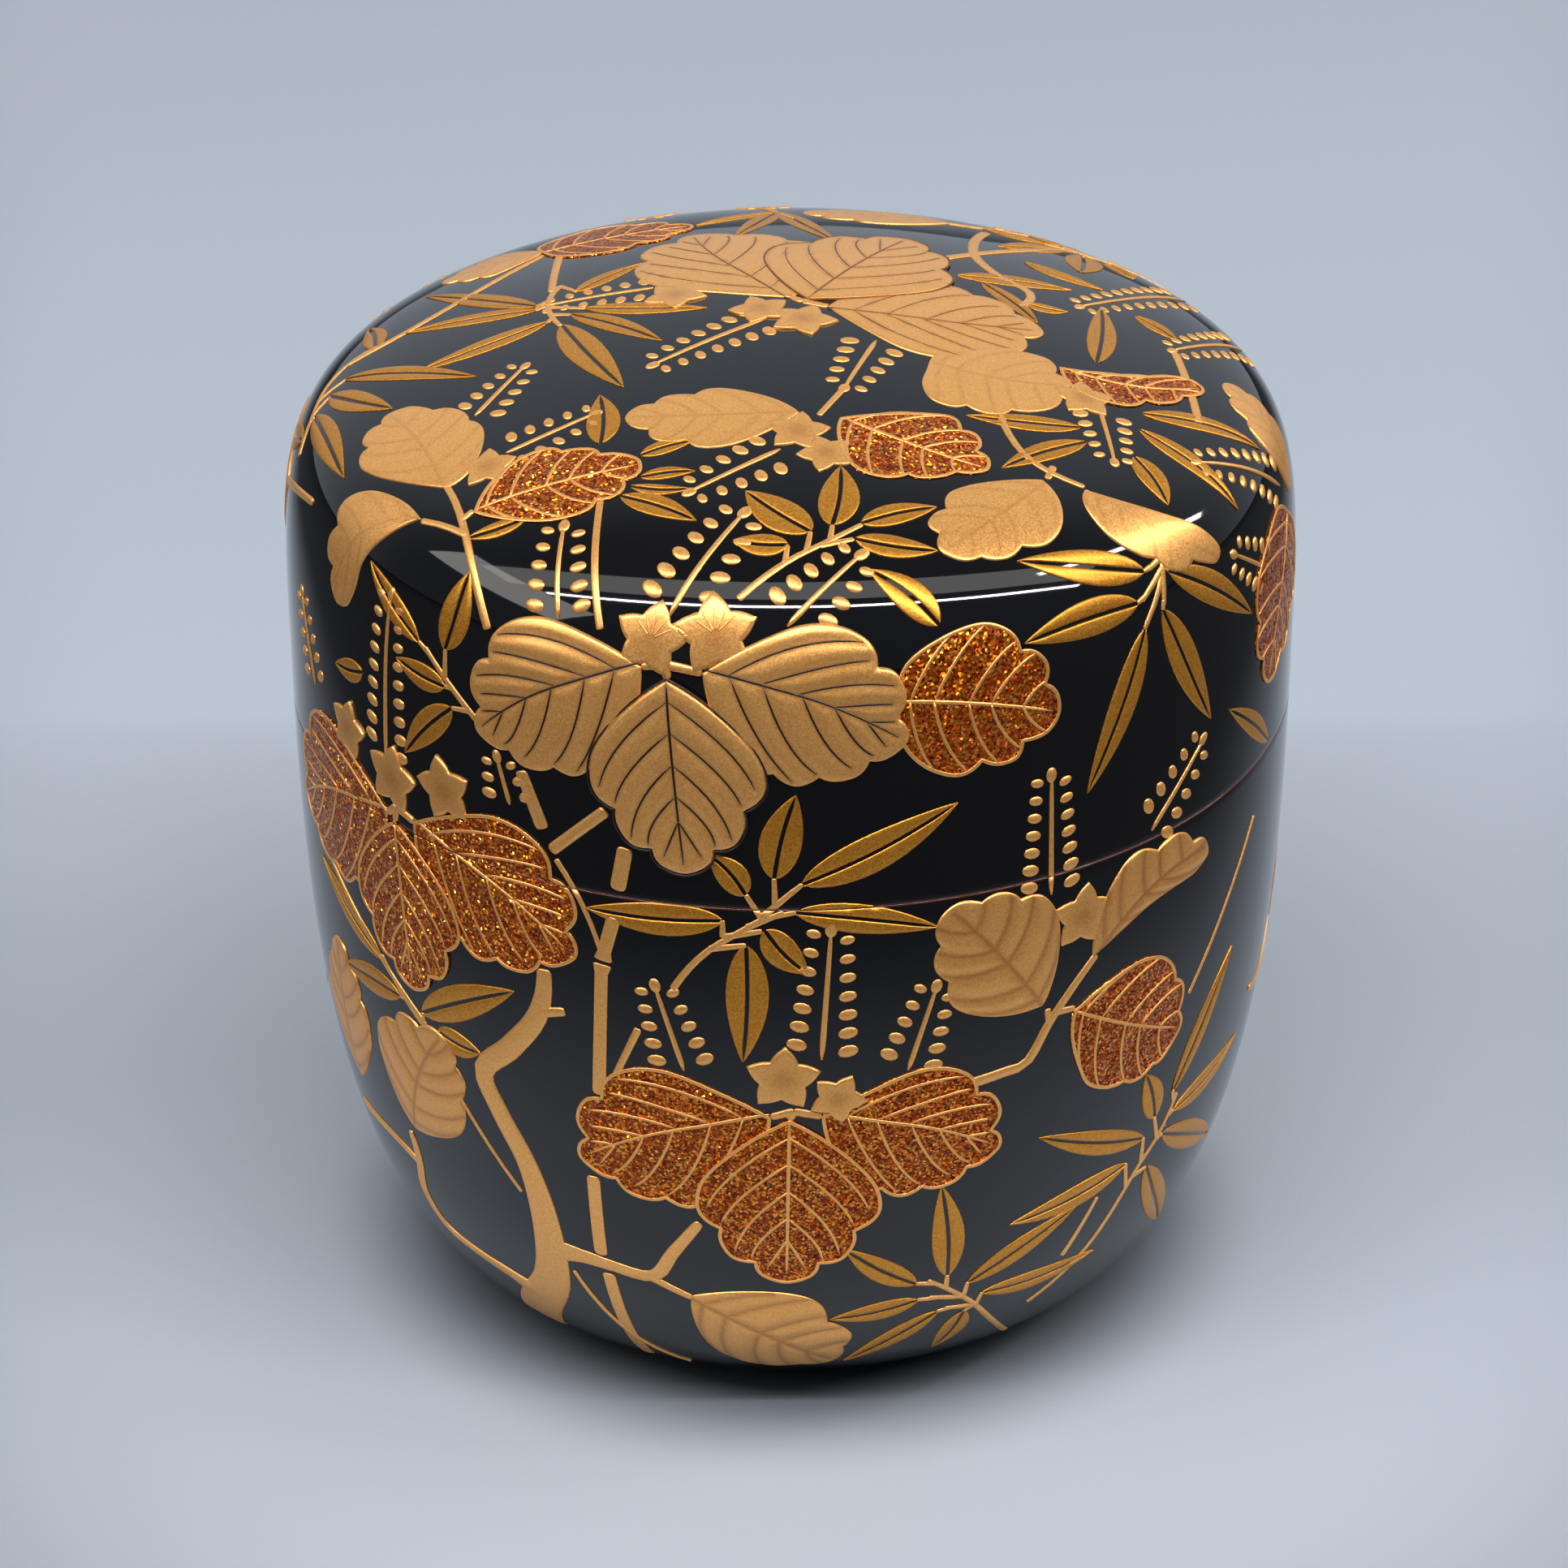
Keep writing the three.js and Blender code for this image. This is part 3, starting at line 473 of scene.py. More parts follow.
class Motif:
    """Shapes in one mesh. Finish 0 is the motif's main one, and the others follow."""

    def __init__(self):
        self.bm = bmesh.new()
        self.points = []
        self.shades = []

    def add(self, blank, position, normal, height, finish=0, shade=0):
        faces = len(blank.mesh.polygons)
        blank.mesh.polygons.foreach_set("material_index", np.full(faces, finish, np.int32))
        self.bm.from_mesh(blank.mesh)
        self.points.append(position + normal * height[:, None])
        self.shades.append(np.full(len(position), shade, float))

    def made(self, name, materials, seam_side=0):
        """The finished object. A seam side of 1 or -1 keeps what lies above or below the seam."""
        mesh = as_mesh(self.bm, name)
        points = np.concatenate(self.points) * MM
        mesh.vertices.foreach_set("co", points.ravel())
        shade = mesh.attributes.new("shade", "FLOAT", "POINT")
        shade.data.foreach_set("value", np.concatenate(self.shades))
        if seam_side:
            cut_at_seam(mesh, seam_side)
        mesh.update()
        for material in materials:
            mesh.materials.append(material)
        return in_scene(name, mesh)


def cut_at_seam(mesh, seam_side):
    """Keeps the half on one side of the seam, less a hair, and closes the cut."""
    bm = bmesh.new()
    bm.from_mesh(mesh)
    bmesh.ops.bisect_plane(
        bm, geom=bm.verts[:] + bm.edges[:] + bm.faces[:], dist=MM / 10000,
        plane_co=(0, 0, (SEAM_HEIGHT + seam_side * SEAM_GAP) * MM), plane_no=(0, 0, seam_side),
        clear_inner=True,
    )
    rims = [edge for edge in bm.edges if edge.is_boundary]
    bmesh.ops.holes_fill(bm, edges=rims, sides=0)
    bm.to_mesh(mesh)
    bm.free()


# %% [markdown]
# ## Laying a pad, a bar and a ring
# A pad is drawn by its rim, a closed line on the paper. Its top is a height above the lacquer, which
# may change from place to place, and its edge rolls down in a quarter round. A bar follows a line on
# the paper with a half width at each row. A ring follows a rim. All of them reach a little way into
# the lacquer, so no gap shows where the surface curves.

# %% Three ways to lay a shape
SINK = 0.05
SQUARE = 0.6
PLUMP = 0.7


class Rim:
    """A closed line on the paper, with the way outwards at each of its points."""

    def __init__(self, line):
        x, y = line.T
        clockwise = (x * np.roll(y, -1) - y * np.roll(x, -1)).sum() < 0
        self.line = line if clockwise else line[::-1]
        ahead = unit(np.roll(self.line, -1, axis=0) - np.roll(self.line, 1, axis=0))
        self.outward = np.stack((-ahead[:, 1], ahead[:, 0]), axis=1)
        self.middle = line.mean(axis=0)

    def out(self, x, y):
        """How far out some places are: 0 in the middle and 1 on the rim."""
        reach = self.line - self.middle
        x, y = x - self.middle[0], y - self.middle[1]
        at_rim = np.interp(
            np.arctan2(x, y), np.arctan2(*reach.T), np.linalg.norm(reach, axis=1), period=math.tau
        )
        return np.hypot(x, y) / at_rim


def lay_pad(motif, way, rim, top, edge=0.07, rings=1, edge_rings=3, finish=0, shade=None):
    """top(x, y) gives the height in mm, shade(x, y) how dark the powder is."""
    blank = pad_blank(rings, len(rim.line), edge_rings)
    line, outward = rim.line[blank.spoke], rim.outward[blank.spoke]
    inset = rim.middle + (line - outward * edge - rim.middle) * blank.inner[:, None]
    above = inset + outward * (edge * blank.outer)[:, None]
    below = rim.middle + (line - rim.middle) * blank.under[:, None]
    x, y = np.where(blank.below[:, None], below, above).T
    rise = top(x, y) * blank.rise - SINK * blank.outer
    height = np.where(blank.below, -SINK, rise)
    motif.add(blank, *way.at(x, y), height, finish, shade(x, y) if shade else 0)


def section(blank, crest):
    """Across from -1 to 1 and the rise over a bar's or a ring's cross-section."""
    across, up = np.cos(blank.round), np.sin(blank.round)
    rise = np.where(up > 0, crest * np.abs(up) ** PLUMP, -SINK * np.abs(up))
    return np.sign(across) * np.abs(across) ** SQUARE, rise


def lay_bar(motif, way, path, halves, crest, lift=None, sides=8, finish=0):
    """path is a line of (x, y) on the paper, halves its half width at each point."""
    path = np.asarray(path, float)
    blank = bar_blank(len(path) - 1, sides)
    ahead = unit(np.gradient(path, axis=0))
    left = np.stack((-ahead[:, 1], ahead[:, 0]), axis=1)
    across, rise = section(blank, crest)
    side = left[blank.row] * (across * np.asarray(halves)[blank.row])[:, None]
    x, y = (path[blank.row] + side).T
    motif.add(blank, *way.at(x, y), rise + (lift(x, y) if lift else 0), finish)


def lay_ring(motif, way, rim, half, crest, lift, finish=1, outside=0.0, sides=8):
    """A band along the inside of a rim, or outside it by a gap."""
    blank = ring_blank(len(rim.line), sides)
    across, rise = section(blank, crest)
    out = rim.outward[blank.spoke] * (outside - half + half * across)[:, None]
    x, y = (rim.line[blank.spoke] + out).T
    motif.add(blank, *way.at(x, y), rise + lift, finish)


# %% [markdown]
# ## Drawing a paulownia leaf
# A paulownia leaf starts narrow at its stalk, swells, and ends in round lobes. In a spray the middle
# leaf is even on both sides, and the leaves beside it are drawn half turned. Single leaves hang at
# other angles, and some are folded, with lobes on one side only. Each outline is a row of lobes with
# a sharp notch between two, and only the few points that give a lobe its curve. The points are in
# hundredths of the leaf's length, sideways and ahead of its stalk.

# %% Leaf outlines
OUTLINES = {
    "side": "0,0 21,17 39,38 43,55 39,69 30,75 | 30,84 20,93 9,92 | 6,98 -1,101 -13,94 -16,87 "
            "| -25,84 -31,74 -31,67 | -38,60 -39,54 -36,46 | -38,40 -33,27 -18,11 0,0",
    "middle": "0,0 -22,16 -40,39 -42,56 -31,66 | -31,74 -25,84 -15,86 | -12,94 0,99 12,94 15,86 "
              "| 25,84 31,74 31,66 | 41,57 40,39 22,16 0,0",
    "nodding": "-4,-3 -12,40 -13,70 -9,89 0,98 9,97 | 12,108 24,113 33,108 | 42,113 57,103 61,90 "
               "61,78 | 68,67 68,51 62,40 | 61,26 48,10 20,-6 5,-7 -4,-3",
    "curled": "0,0 20,14 38,38 41,57 36,65 28,66 | 26,78 17,84 8,81 | 2,89 -12,90 -19,80 -15,64 "
              "-5,48 -1,25 0,0",
    "slender": "2,0 -20,14 -35,34 -37,50 -31,57 | -30,66 -26,75 -20,78 | -16,90 -7,99 5,98 10,88 "
               "| 17,87 23,79 22,70 | 29,64 30,44 22,25 10,8 2,0",
    "lying": "0,-1 -20,16 -34,38 -35,55 -28,62 | -29,74 -24,83 -16,85 | -12,95 -2,100 8,94 10,84 "
             "| 17,79 19,70 18,61 | 24,53 23,38 12,12 0,-1",
    "leaning": "3,1 -13,22 -28,48 -32,63 -22,72 | -23,81 -15,88 -7,88 | -4,97 7,101 16,94 20,85 "
               "| 30,78 37,67 37,60 | 45,52 48,38 42,22 20,6 3,1",
    "broad": "-2,3 -20,15 -29,36 -31,65 -27,83 -18,89 -8,88 | -2,97 8,98 16,90 "
             "| 26,92 39,85 48,70 49,58 | 57,50 57,37 51,28 | 55,18 48,4 30,-2 10,1 -2,3",
    "edge_on": "2,-3 3,30 -1,55 -9,79 -8,92 0,98 9,95 18,79 | 27,73 33,60 32,50 "
               "| 41,40 42,25 32,5 20,-2 2,-3",
    "drooping": "2,5 -20,6 -42,19 -52,38 -47,56 | -52,68 -50,80 -44,88 | -41,102 -27,111 -14,103 "
                "| -3,105 4,95 4,85 | 16,76 18,60 12,31 2,5",
    "folded": "2,0 5,20 5,45 2,75 6,93 15,93 22,80 24,73 | 33,68 38,57 36,45 | 39,33 34,13 15,-1 "
              "2,0",
    "round": "0,-7 -22,-7 -43,15 -53,40 -48,58 -38,65 | -38,75 -30,85 -18,86 "
             "| -13,95 0,100 13,95 20,79 | 31,77 36,65 34,54 | 44,43 43,25 34,8 20,-3 0,-7",
    "upright": "1,7 -18,25 -29,45 -30,58 -21,69 | -21,80 -16,87 -8,90 | -4,99 6,104 18,102 26,91 "
               "| 36,87 41,78 41,72 | 50,62 47,43 30,23 10,10 1,7",
    "half": "0,-3 -20,7 -38,26 -44,45 -33,60 | -33,73 -26,83 -15,87 | -8,97 4,97 7,84 1,62 -3,42 "
            "-2,15 0,-3",
    "turned": "1,0 -15,25 -25,53 -22,77 -10,92 1,97 | 8,107 20,110 30,108 | 42,114 58,105 67,95 "
              "67,88 | 74,78 75,68 72,60 | 73,45 65,25 50,14 20,1 1,0",
    "low": "-2,0 -20,20 -32,47 -31,66 -15,79 | -12,90 -4,99 10,99 | 22,103 36,98 42,85 "
           "| 51,72 52,52 41,28 15,7 -2,0",
    "climbing": "5,7 -14,25 -29,58 -28,80 -17,91 -5,94 | 0,105 12,108 22,105 "
                "| 35,112 50,108 58,98 57,90 | 65,80 64,70 60,62 | 63,50 55,30 30,14 5,7",
}
VEINS = {
    "side": "2,0 5,28 6,60 0,95 | 4,12 28,38 39,64 | 6,28 24,54 32,70 | 7,45 19,67 24,85 "
            "| 6,62 13,80 15,87 | 4,80 7,91 | 4,12 -22,36 -36,55 | 5,28 -20,50 -29,65 "
            "| 7,46 -14,66 -21,79 | 6,62 -9,79 -12,87 | 3,79 -6,91",
    "middle": "0,0 0,40 0,70 0,93 | 0,10 26,34 37,54 | 0,25 22,47 30,62 | 0,41 17,61 24,80 "
              "| 0,57 13,73 16,83 | 0,70 9,89 | 0,10 -26,34 -37,54 | 0,25 -22,47 -30,62 "
              "| 0,41 -17,61 -24,80 | 0,57 -13,73 -16,83 | 0,70 -9,89",
}
VEIN_NODES = (0.08, 0.24, 0.41, 0.58, 0.76)
VEIN_ENDS = (0.17, 0.24, 0.31, 0.37, 0.435)
VEIN_BOW = (0.45, 0.62)
MIDRIB_REACH = 0.9
RIM_CLEARANCE = 0.03


def read_lines(text, scale):
    """Lines of knots from a text of x,y pairs, parted by bars."""
    return [
        np.array([[float(part) for part in pair.split(",")] for pair in line.split()]) * scale
        for line in text.split("|")
    ]


def leaf_rim(form, scale, spokes):
    """The rim of a leaf. Each lobe starts at the notch where the last one ended."""
    lobes, start = [], np.zeros((0, 2))
    for knots in read_lines(OUTLINES[form], scale):
        lobes.append(smooth_line(np.concatenate((start, knots))))
        start = knots[-1:]
    lengths = [np.linalg.norm(np.diff(lobe, axis=0), axis=1).sum() for lobe in lobes]
    ends = np.rint(np.cumsum(lengths) / sum(lengths) * spokes).astype(int)
    counts = np.diff(ends, prepend=0)
    return Rim(np.concatenate([evenly(lobe, n + 1)[:-1] for lobe, n in zip(lobes, counts)]))


def vein_lines(form, scale, rim):
    """The midrib, then the side veins, each as a line on the paper."""
    if form in VEINS:
        return [smooth_line(knots, 5) for knots in read_lines(VEINS[form], scale)]
    base = np.argmin(np.linalg.norm(rim.line, axis=1))
    line = np.roll(rim.line, -base, axis=0)
    tip = line[np.argmax(np.linalg.norm(line, axis=1))]
    midrib_end = rim.middle + MIDRIB_REACH * (tip - rim.middle)
    midrib = smooth_line((line[0], rim.middle, midrib_end), 7)
    lines = [midrib]
    for sign in (1, -1):
        for node, end in zip(VEIN_NODES, VEIN_ENDS):
            first = midrib[round(node * (len(midrib) - 1))]
            last = line[round(sign * end * len(line))]
            last = last + RIM_CLEARANCE * (rim.middle - last)
            ahead = unit(tip - line[0])
            along = ahead * dot(last - first, ahead)
            bow = first + VEIN_BOW[0] * along + VEIN_BOW[1] * (last - first - along)
            lines.append(smooth_line((first, bow, last), 6))
    return lines


def distance_to(lines, x, y):
    """How far each point of the paper lies from the nearest of some lines."""
    starts = np.concatenate([line[:-1] for line in lines])
    along = np.concatenate([line[1:] for line in lines]) - starts
    points = np.stack((x, y), axis=1)[:, None] - starts
    share = np.clip((points * along).sum(-1) / (along**2).sum(-1), 0, 1)
    return np.linalg.norm(points - along * share[..., None], axis=-1).min(axis=1)


print(f"{len(OUTLINES)} leaf outlines, {len(VEINS)} of them with veins drawn by hand")

# %% [markdown]
# ## The styles of a leaf
# The front spray is built up in high relief and burnished: the gold swells between veins that are
# left black. The flaked leaves have a rim and veins drawn in raised gold over red lacquer with gold
# flakes in it. The leaves of the crown are lined in brown, the soft ones on the body swell a little
# and are shaded in, and the plain ones are low and even. All share the same outlines, so one function
# lays them and takes the style as a word. Sizes are in millimetres, and dark says how much browner
# the powder gets beside a vein.

# %% Lay a leaf in one of its styles
STYLES = {
    "high": dict(top=0.2, edge=0.16, rings=36, spokes=256, dome=0.14, quilt=0.1,
                 dark=0.5, dark_reach=0.13, cloud=0, veins=(0.095, 0.06), vein_crest=0.025),
    "flake": dict(top=0.1, edge=0.08, rings=10, spokes=176, dome=0, quilt=0,
                  dark=0.5, dark_reach=0.13, cloud=0, veins=(0.16, 0.1), vein_crest=0.035),
    "plain": dict(top=0.1, edge=0.09, rings=18, spokes=176, dome=0.04, quilt=0,
                  dark=0.22, dark_reach=0.14, cloud=0, veins=None),
    "soft": dict(top=0.12, edge=0.12, rings=24, spokes=200, dome=0.08, quilt=0.07,
                 dark=0.3, dark_reach=0.16, cloud=0.3, veins=None),
    "lined": dict(top=0.1, edge=0.09, rings=16, spokes=176, dome=0.04, quilt=0,
                  dark=0.5, dark_reach=0.13, cloud=0, veins=(0.065, 0.045), vein_crest=0.025),
}
DOME_POWER = 2.4
GROOVE = 0.09
PUFF_REACH = 0.4
CLOUD_REACH = 0.5
SIDE_VEIN = 0.8
BAND = {"half": 0.14, "crest": 0.04}
OUTER_LINE = {"half": 0.07, "crest": 0.03, "outside": 0.13, "sides": 6}
OUTER_LINE_SINK = 0.02


def tapered(path, wide, fine):
    """Half widths along a line from wide to fine, with both ends rounded off."""
    share = np.linspace(0, 1, len(path))
    ends = np.sqrt(np.clip(np.minimum(share, 1 - share) * len(path) / 1.5, 0.1, 1))
    return (wide + (fine - wide) * share) * ends


def level(height):
    """A top that is the same height all over."""
    return lambda x, y: np.full(len(x), height)


def lay_leaf(motif, form, base, tip, style, flip=1, lift=0.0, outlined=False):
    """A leaf from base to tip. flip -1 turns its outline over."""
    way = Way(base, tip)
    look = STYLES[style]
    scale = np.array((flip, 1)) * way.length / 100
    rim = leaf_rim(form, scale, look["spokes"])
    lines = vein_lines(form, scale, rim)
    height = look["top"] + lift

    def swollen(x, y):
        dome = np.clip(1 - rim.out(x, y) ** DOME_POWER, 0, 1)
        top = height + look["dome"] * dome
        if look["quilt"]:
            gap = np.clip(distance_to(lines, x, y) - GROOVE, 0, None)
            puff = 1 - np.exp(-((gap / PUFF_REACH) ** 2))
            top = top + look["quilt"] * (0.5 * dome + puff * np.clip(dome * 4, 0, 1))
        return top

    def shade(x, y):
        gap = distance_to(lines, x, y)
        dark = look["dark"] * np.exp(-((gap / look["dark_reach"]) ** 2))
        return dark + look["cloud"] * np.exp(-gap / CLOUD_REACH)

    top = level(height) if style == "flake" else swollen
    lay_pad(motif, way, rim, top, look["edge"], look["rings"], 4, 0, shade)
    if style == "flake":
        lay_ring(motif, way, rim, **BAND, lift=height)
    for index, line in enumerate(lines if look["veins"] else []):
        wide, fine = look["veins"]
        widths = tapered(line, SIDE_VEIN * wide if index else wide, fine)
        lay_bar(motif, way, line, widths, look["vein_crest"], top, 6, 1)
    if outlined:
        lay_ring(motif, way, rim, **OUTER_LINE, lift=height - OUTER_LINE_SINK)


print("styles:", ", ".join(STYLES))

# %% [markdown]
# ## Stars, seeds and stems
# Paulownia flowers are drawn as five-pointed stars under a spike of buds. A spike is a thin stalk
# with a knob at its top and oval buds in pairs beside it. There are hundreds of buds, so each gets a
# blank of a few dozen faces. Stems and the bamboo culm are bars along a route with blunt ends.

# %% Stars
STAR_POINTS = 5
STAR_INNER = 0.62
STAR_BULGE = 0.07
STAR_TOP = 0.12
EYE_DARK = 0.4
EYE_REACH = 0.4
STAMENS = (-52, -27, 0, 27, 52)


def lay_star(motif, at, size, turn=0.0, lift=0.0, finish=0, stamens=False):
    """A five-pointed flower, its middle at a place."""
    way = Way(at, (at[0], at[1] + 0.02))
    spokes = 16 * STAR_POINTS
    sector = math.pi / STAR_POINTS
    angle = np.arange(spokes) / spokes * math.tau
    from_point = np.abs((angle / sector + 1) % 2 - 1) * sector
    straight = math.sin(sector) / (np.sin(sector - from_point) + np.sin(from_point) / STAR_INNER)
    reach = size / 2 * straight * (1 + STAR_BULGE * np.sin(math.pi * from_point / sector))
    lean = angle + math.radians(turn)
    rim = Rim(np.stack((reach * np.sin(lean), reach * np.cos(lean)), axis=1))
    height = STAR_TOP + lift

    def shade(x, y):
        return EYE_DARK * np.exp(-((np.hypot(x, y) / (size / 2) / EYE_REACH) ** 2))

    lay_pad(motif, way, rim, level(height), 0.07, 6, 3, finish, shade)
    for stamen in STAMENS if stamens else ():
        lean = math.radians(stamen + turn)
        out = np.linspace(0.08, 0.58, 9)[:, None] * size / 2
        line = out * np.array([math.sin(lean), math.cos(lean)])
        lay_bar(motif, way, line, tapered(line, 0.06, 0.06), 0.04, level(height), 6)


# %% Seeds and spikes
BUD_STEP = 1.42
BUD_HALVES = (0.66, 0.46)
BUD_HEIGHT = 0.12
BUD_LEAN = math.radians(74)
BUD_OUT = 1.1
BUD_SPREAD = 0.6
BUD_SMALLEST = 0.82
BUD_GROWTH = 0.3
BUD_STAGGER = 0.15
KNOB_HALVES = (0.62, 0.45)
KNOB_GAP = 0.55
SPIKE_HALVES = (0.22, 0.15)


def lay_seed(motif, way, at, half_long, half_wide, turn=0.0):
    """An oval bud on the paper. turn leans its long axis."""
    angle = np.arange(12) / 12 * math.tau
    long, wide = half_long * np.cos(angle), half_wide * np.sin(angle)
    line = np.stack((
        at[0] + long * math.sin(turn) + wide * math.cos(turn),
        at[1] + long * math.cos(turn) - wide * math.sin(turn),
    ), axis=1)
    lay_pad(motif, way, Rim(line), level(BUD_HEIGHT), half_wide * 0.6, 1, 2)


def lay_spike(motif, base, knob, size=1.0):
    """A stalk with a knob, and buds in pairs that spread towards its foot."""
    way = Way(base, knob)
    length = way.length
    stalk = np.column_stack((np.zeros(13), np.linspace(0, length, 13)))
    lay_bar(motif, way, stalk, tapered(stalk, *SPIKE_HALVES) * size, 0.1)
    lay_seed(motif, way, (0, length), KNOB_HALVES[0] * size, KNOB_HALVES[1] * size)
    pairs = max(round(length / (BUD_STEP * size)), 3)
    step = length / pairs
    for index in range(pairs):
        share = index / (pairs - 1)
        grow = (BUD_SMALLEST + BUD_GROWTH * share) * size
        for side in (-1, 1):
            out = side * (BUD_OUT + BUD_SPREAD * share) * size
            along = length - KNOB_GAP * size - (index + BUD_STAGGER * side) * step
            half_long, half_wide = (half * grow for half in BUD_HALVES)
            lay_seed(motif, way, (out, along), half_long, half_wide, side * BUD_LEAN)


# %% Stems and blades
STEM_STEP = 0.9
STEM_ENDS = np.array([0.0, 0.06, 0.25])
STEM_ROUNDING = np.array([0.5, 0.82, 1.0])
BLADE_GAP = 0.12
BLADE_LEAST = 0.04


def lay_stem(motif, positions, widths, crest=0.1, sides=8, finish=0):
    """A blunt stem through some positions. widths are spread over them."""
    way = Route(positions)
    places = np.linspace(0, 1, len(positions))
    widths = np.interp(places, np.linspace(0, 1, len(widths)), widths)
    ends = STEM_ENDS * min(widths[0], way.length / 2)
    rows = max(int(way.length / STEM_STEP), 3)
    middle = np.linspace(2 * ends[-1], way.length - 2 * ends[-1], rows)
    along = np.concatenate((ends, middle, way.length - ends[::-1]))
    halves = np.interp(along, way.at_knot, widths) / 2
    halves[:3] *= STEM_ROUNDING
    halves[-3:] *= STEM_ROUNDING[::-1]
    path = np.column_stack((np.zeros(len(along)), along))
    lay_bar(motif, way, path, halves, crest, sides=sides, finish=finish)
    return way


def spots(*places):
    """The positions of some places."""
    return [place(*each)[0] for each in places]


def lay_blade(motif, base, tip, width, bow):
    """A bamboo leaf: two half blades with the dark midrib left open between them."""
    way = Way(base, tip)
    share = (1 - np.cos(np.linspace(0, math.pi, 17))) / 2
    half = np.maximum(np.sin(math.pi * share**0.78) ** 0.8 * width / 2, BLADE_LEAST)
    gap = BLADE_GAP * np.clip((1 - share) / 0.12, 0.1, 1)
    bend = bow * np.sin(math.pi * share)
    for side in (-1, 1):
        outer = np.maximum(half - gap, BLADE_LEAST)
        path = np.column_stack((bend + side * (gap + outer / 2), share * way.length))
        lay_bar(motif, way, path, outer / 2, 0.09, sides=10)


# %% [markdown]
# ## The finishes
# Black lacquer is a clear, deep gloss over black. The gold is powder laid into wet lacquer and
# burnished, so it is metal with a soft, grainy shine. A material is a net of nodes, and most of its
# lines only join one node to the next. These helpers take what feeds a node as they make it, so each
# material reads from its pattern to its shader.

# %% Node helpers
def feed(tree, made, inputs):
    """Sets the inputs of a node, or links those that are given another node's output."""
    for name, value in inputs.items():
        if isinstance(value, bpy.types.NodeSocket):
            tree.links.new(value, made.inputs[name])
        else:
            made.inputs[name].default_value = value


def node(tree, kind, inputs=None, **settings):
    """Adds a node with its settings and inputs."""
    made = tree.nodes.new(kind)
    for name, value in settings.items():
        setattr(made, name, value)
    feed(tree, made, inputs or {})
    return made


def number(tree, operation, *terms, **settings):
    """The result of one step of arithmetic."""
    made = node(tree, "ShaderNodeMath", dict(enumerate(terms)), operation=operation, **settings)
    return made.outputs[0]


def vector(tree, operation, *terms, output="Vector", **inputs):
    """The result of one step of arithmetic on vectors."""
    inputs.update(enumerate(terms))
    made = node(tree, "ShaderNodeVectorMath", inputs, operation=operation)
    return made.outputs[output]


def remap(tree, value, low, high, to_low=0.0, to_high=1.0, kind="LINEAR"):
    """The value with its range from low to high turned into another one."""
    ends = {"Value": value, "From Min": low, "From Max": high, "To Min": to_low, "To Max": to_high}
    return node(tree, "ShaderNodeMapRange", ends, interpolation_type=kind).outputs[0]


def ramp(tree, value, *stops):
    """The colours along a value, from (place, colour) stops."""
    made = node(tree, "ShaderNodeValToRGB", {"Fac": value})
    elements = made.color_ramp.elements
    while len(elements) < len(stops):
        elements.new(0.5)
    for element, (at, colour) in zip(elements, stops):
        element.position = at
        element.color = (*colour, 1)
    return made.outputs["Color"]


def blend(tree, share, one, other):
    """One colour where the share is 0 and the other, a plain one, where it is 1."""
    colours = {"Factor": share, "A": one, "B": (*other, 1)}
    return node(tree, "ShaderNodeMix", colours, data_type="RGBA").outputs["Result"]


def plain_material(name, inputs):
    """A material with only its shader, whose inputs take plain values."""
    material = bpy.data.materials.new(name)
    material.use_nodes = True
    tree = material.node_tree
    shader = tree.nodes["Principled BSDF"]
    feed(tree, shader, inputs)
    return material, tree, shader


# %% [markdown]
# ### Shared effects
# One node group makes the grain for every metal finish, and another makes the flakes. The patterns
# read Object coordinates, so the grain has the same real size on every piece.

# %% Grain and flake groups
CLOUDS_PER_METRE = 160.0


def new_group(name, inputs, outputs):
    """A shader group with float inputs, and outputs that are floats or colours."""
    tree = bpy.data.node_groups.new(name, "ShaderNodeTree")
    for title, default in inputs.items():
        socket = tree.interface.new_socket(title, in_out="INPUT", socket_type="NodeSocketFloat")
        socket.default_value = default
    for title, kind in outputs.items():
        tree.interface.new_socket(title, in_out="OUTPUT", socket_type=f"NodeSocket{kind}")
    return tree, tree.nodes.new("NodeGroupInput"), tree.nodes.new("NodeGroupOutput")


def cells(tree, per_metre):
    """Cells of the Voronoi texture: its node, and one that parts their random colours."""
    spot = node(tree, "ShaderNodeTexCoord").outputs["Object"]
    texture = node(tree, "ShaderNodeTexVoronoi", {"Vector": spot, "Scale": per_metre})
    return texture, node(tree, "ShaderNodeSeparateColor", {"Color": texture.outputs["Color"]})


def noise(tree, per_metre, detail):
    """Soft noise from 0 to 1."""
    spot = node(tree, "ShaderNodeTexCoord").outputs["Object"]
    inputs = {"Vector": spot, "Scale": per_metre, "Detail": detail}
    return node(tree, "ShaderNodeTexNoise", inputs).outputs["Fac"]


def powder_grain():
    """Fine powder: a tone from 0 to 1, and a height for the bump."""
    tree, given, result = new_group(
        "powder_grain", {"Grains per metre": 7000.0, "Cloudiness": 0.5},
        {"Tone": "Float", "Height": "Float"},
    )
    random = cells(tree, given.outputs["Grains per metre"])[1]
    cloud = number(tree, "SUBTRACT", noise(tree, CLOUDS_PER_METRE, 3.0), 0.5)
    spread = number(tree, "MULTIPLY", cloud, given.outputs["Cloudiness"])
    tone = number(tree, "ADD", random.outputs["Red"], spread, use_clamp=True)
    feed(tree, result, {"Tone": tone, "Height": random.outputs["Green"]})
    return tree


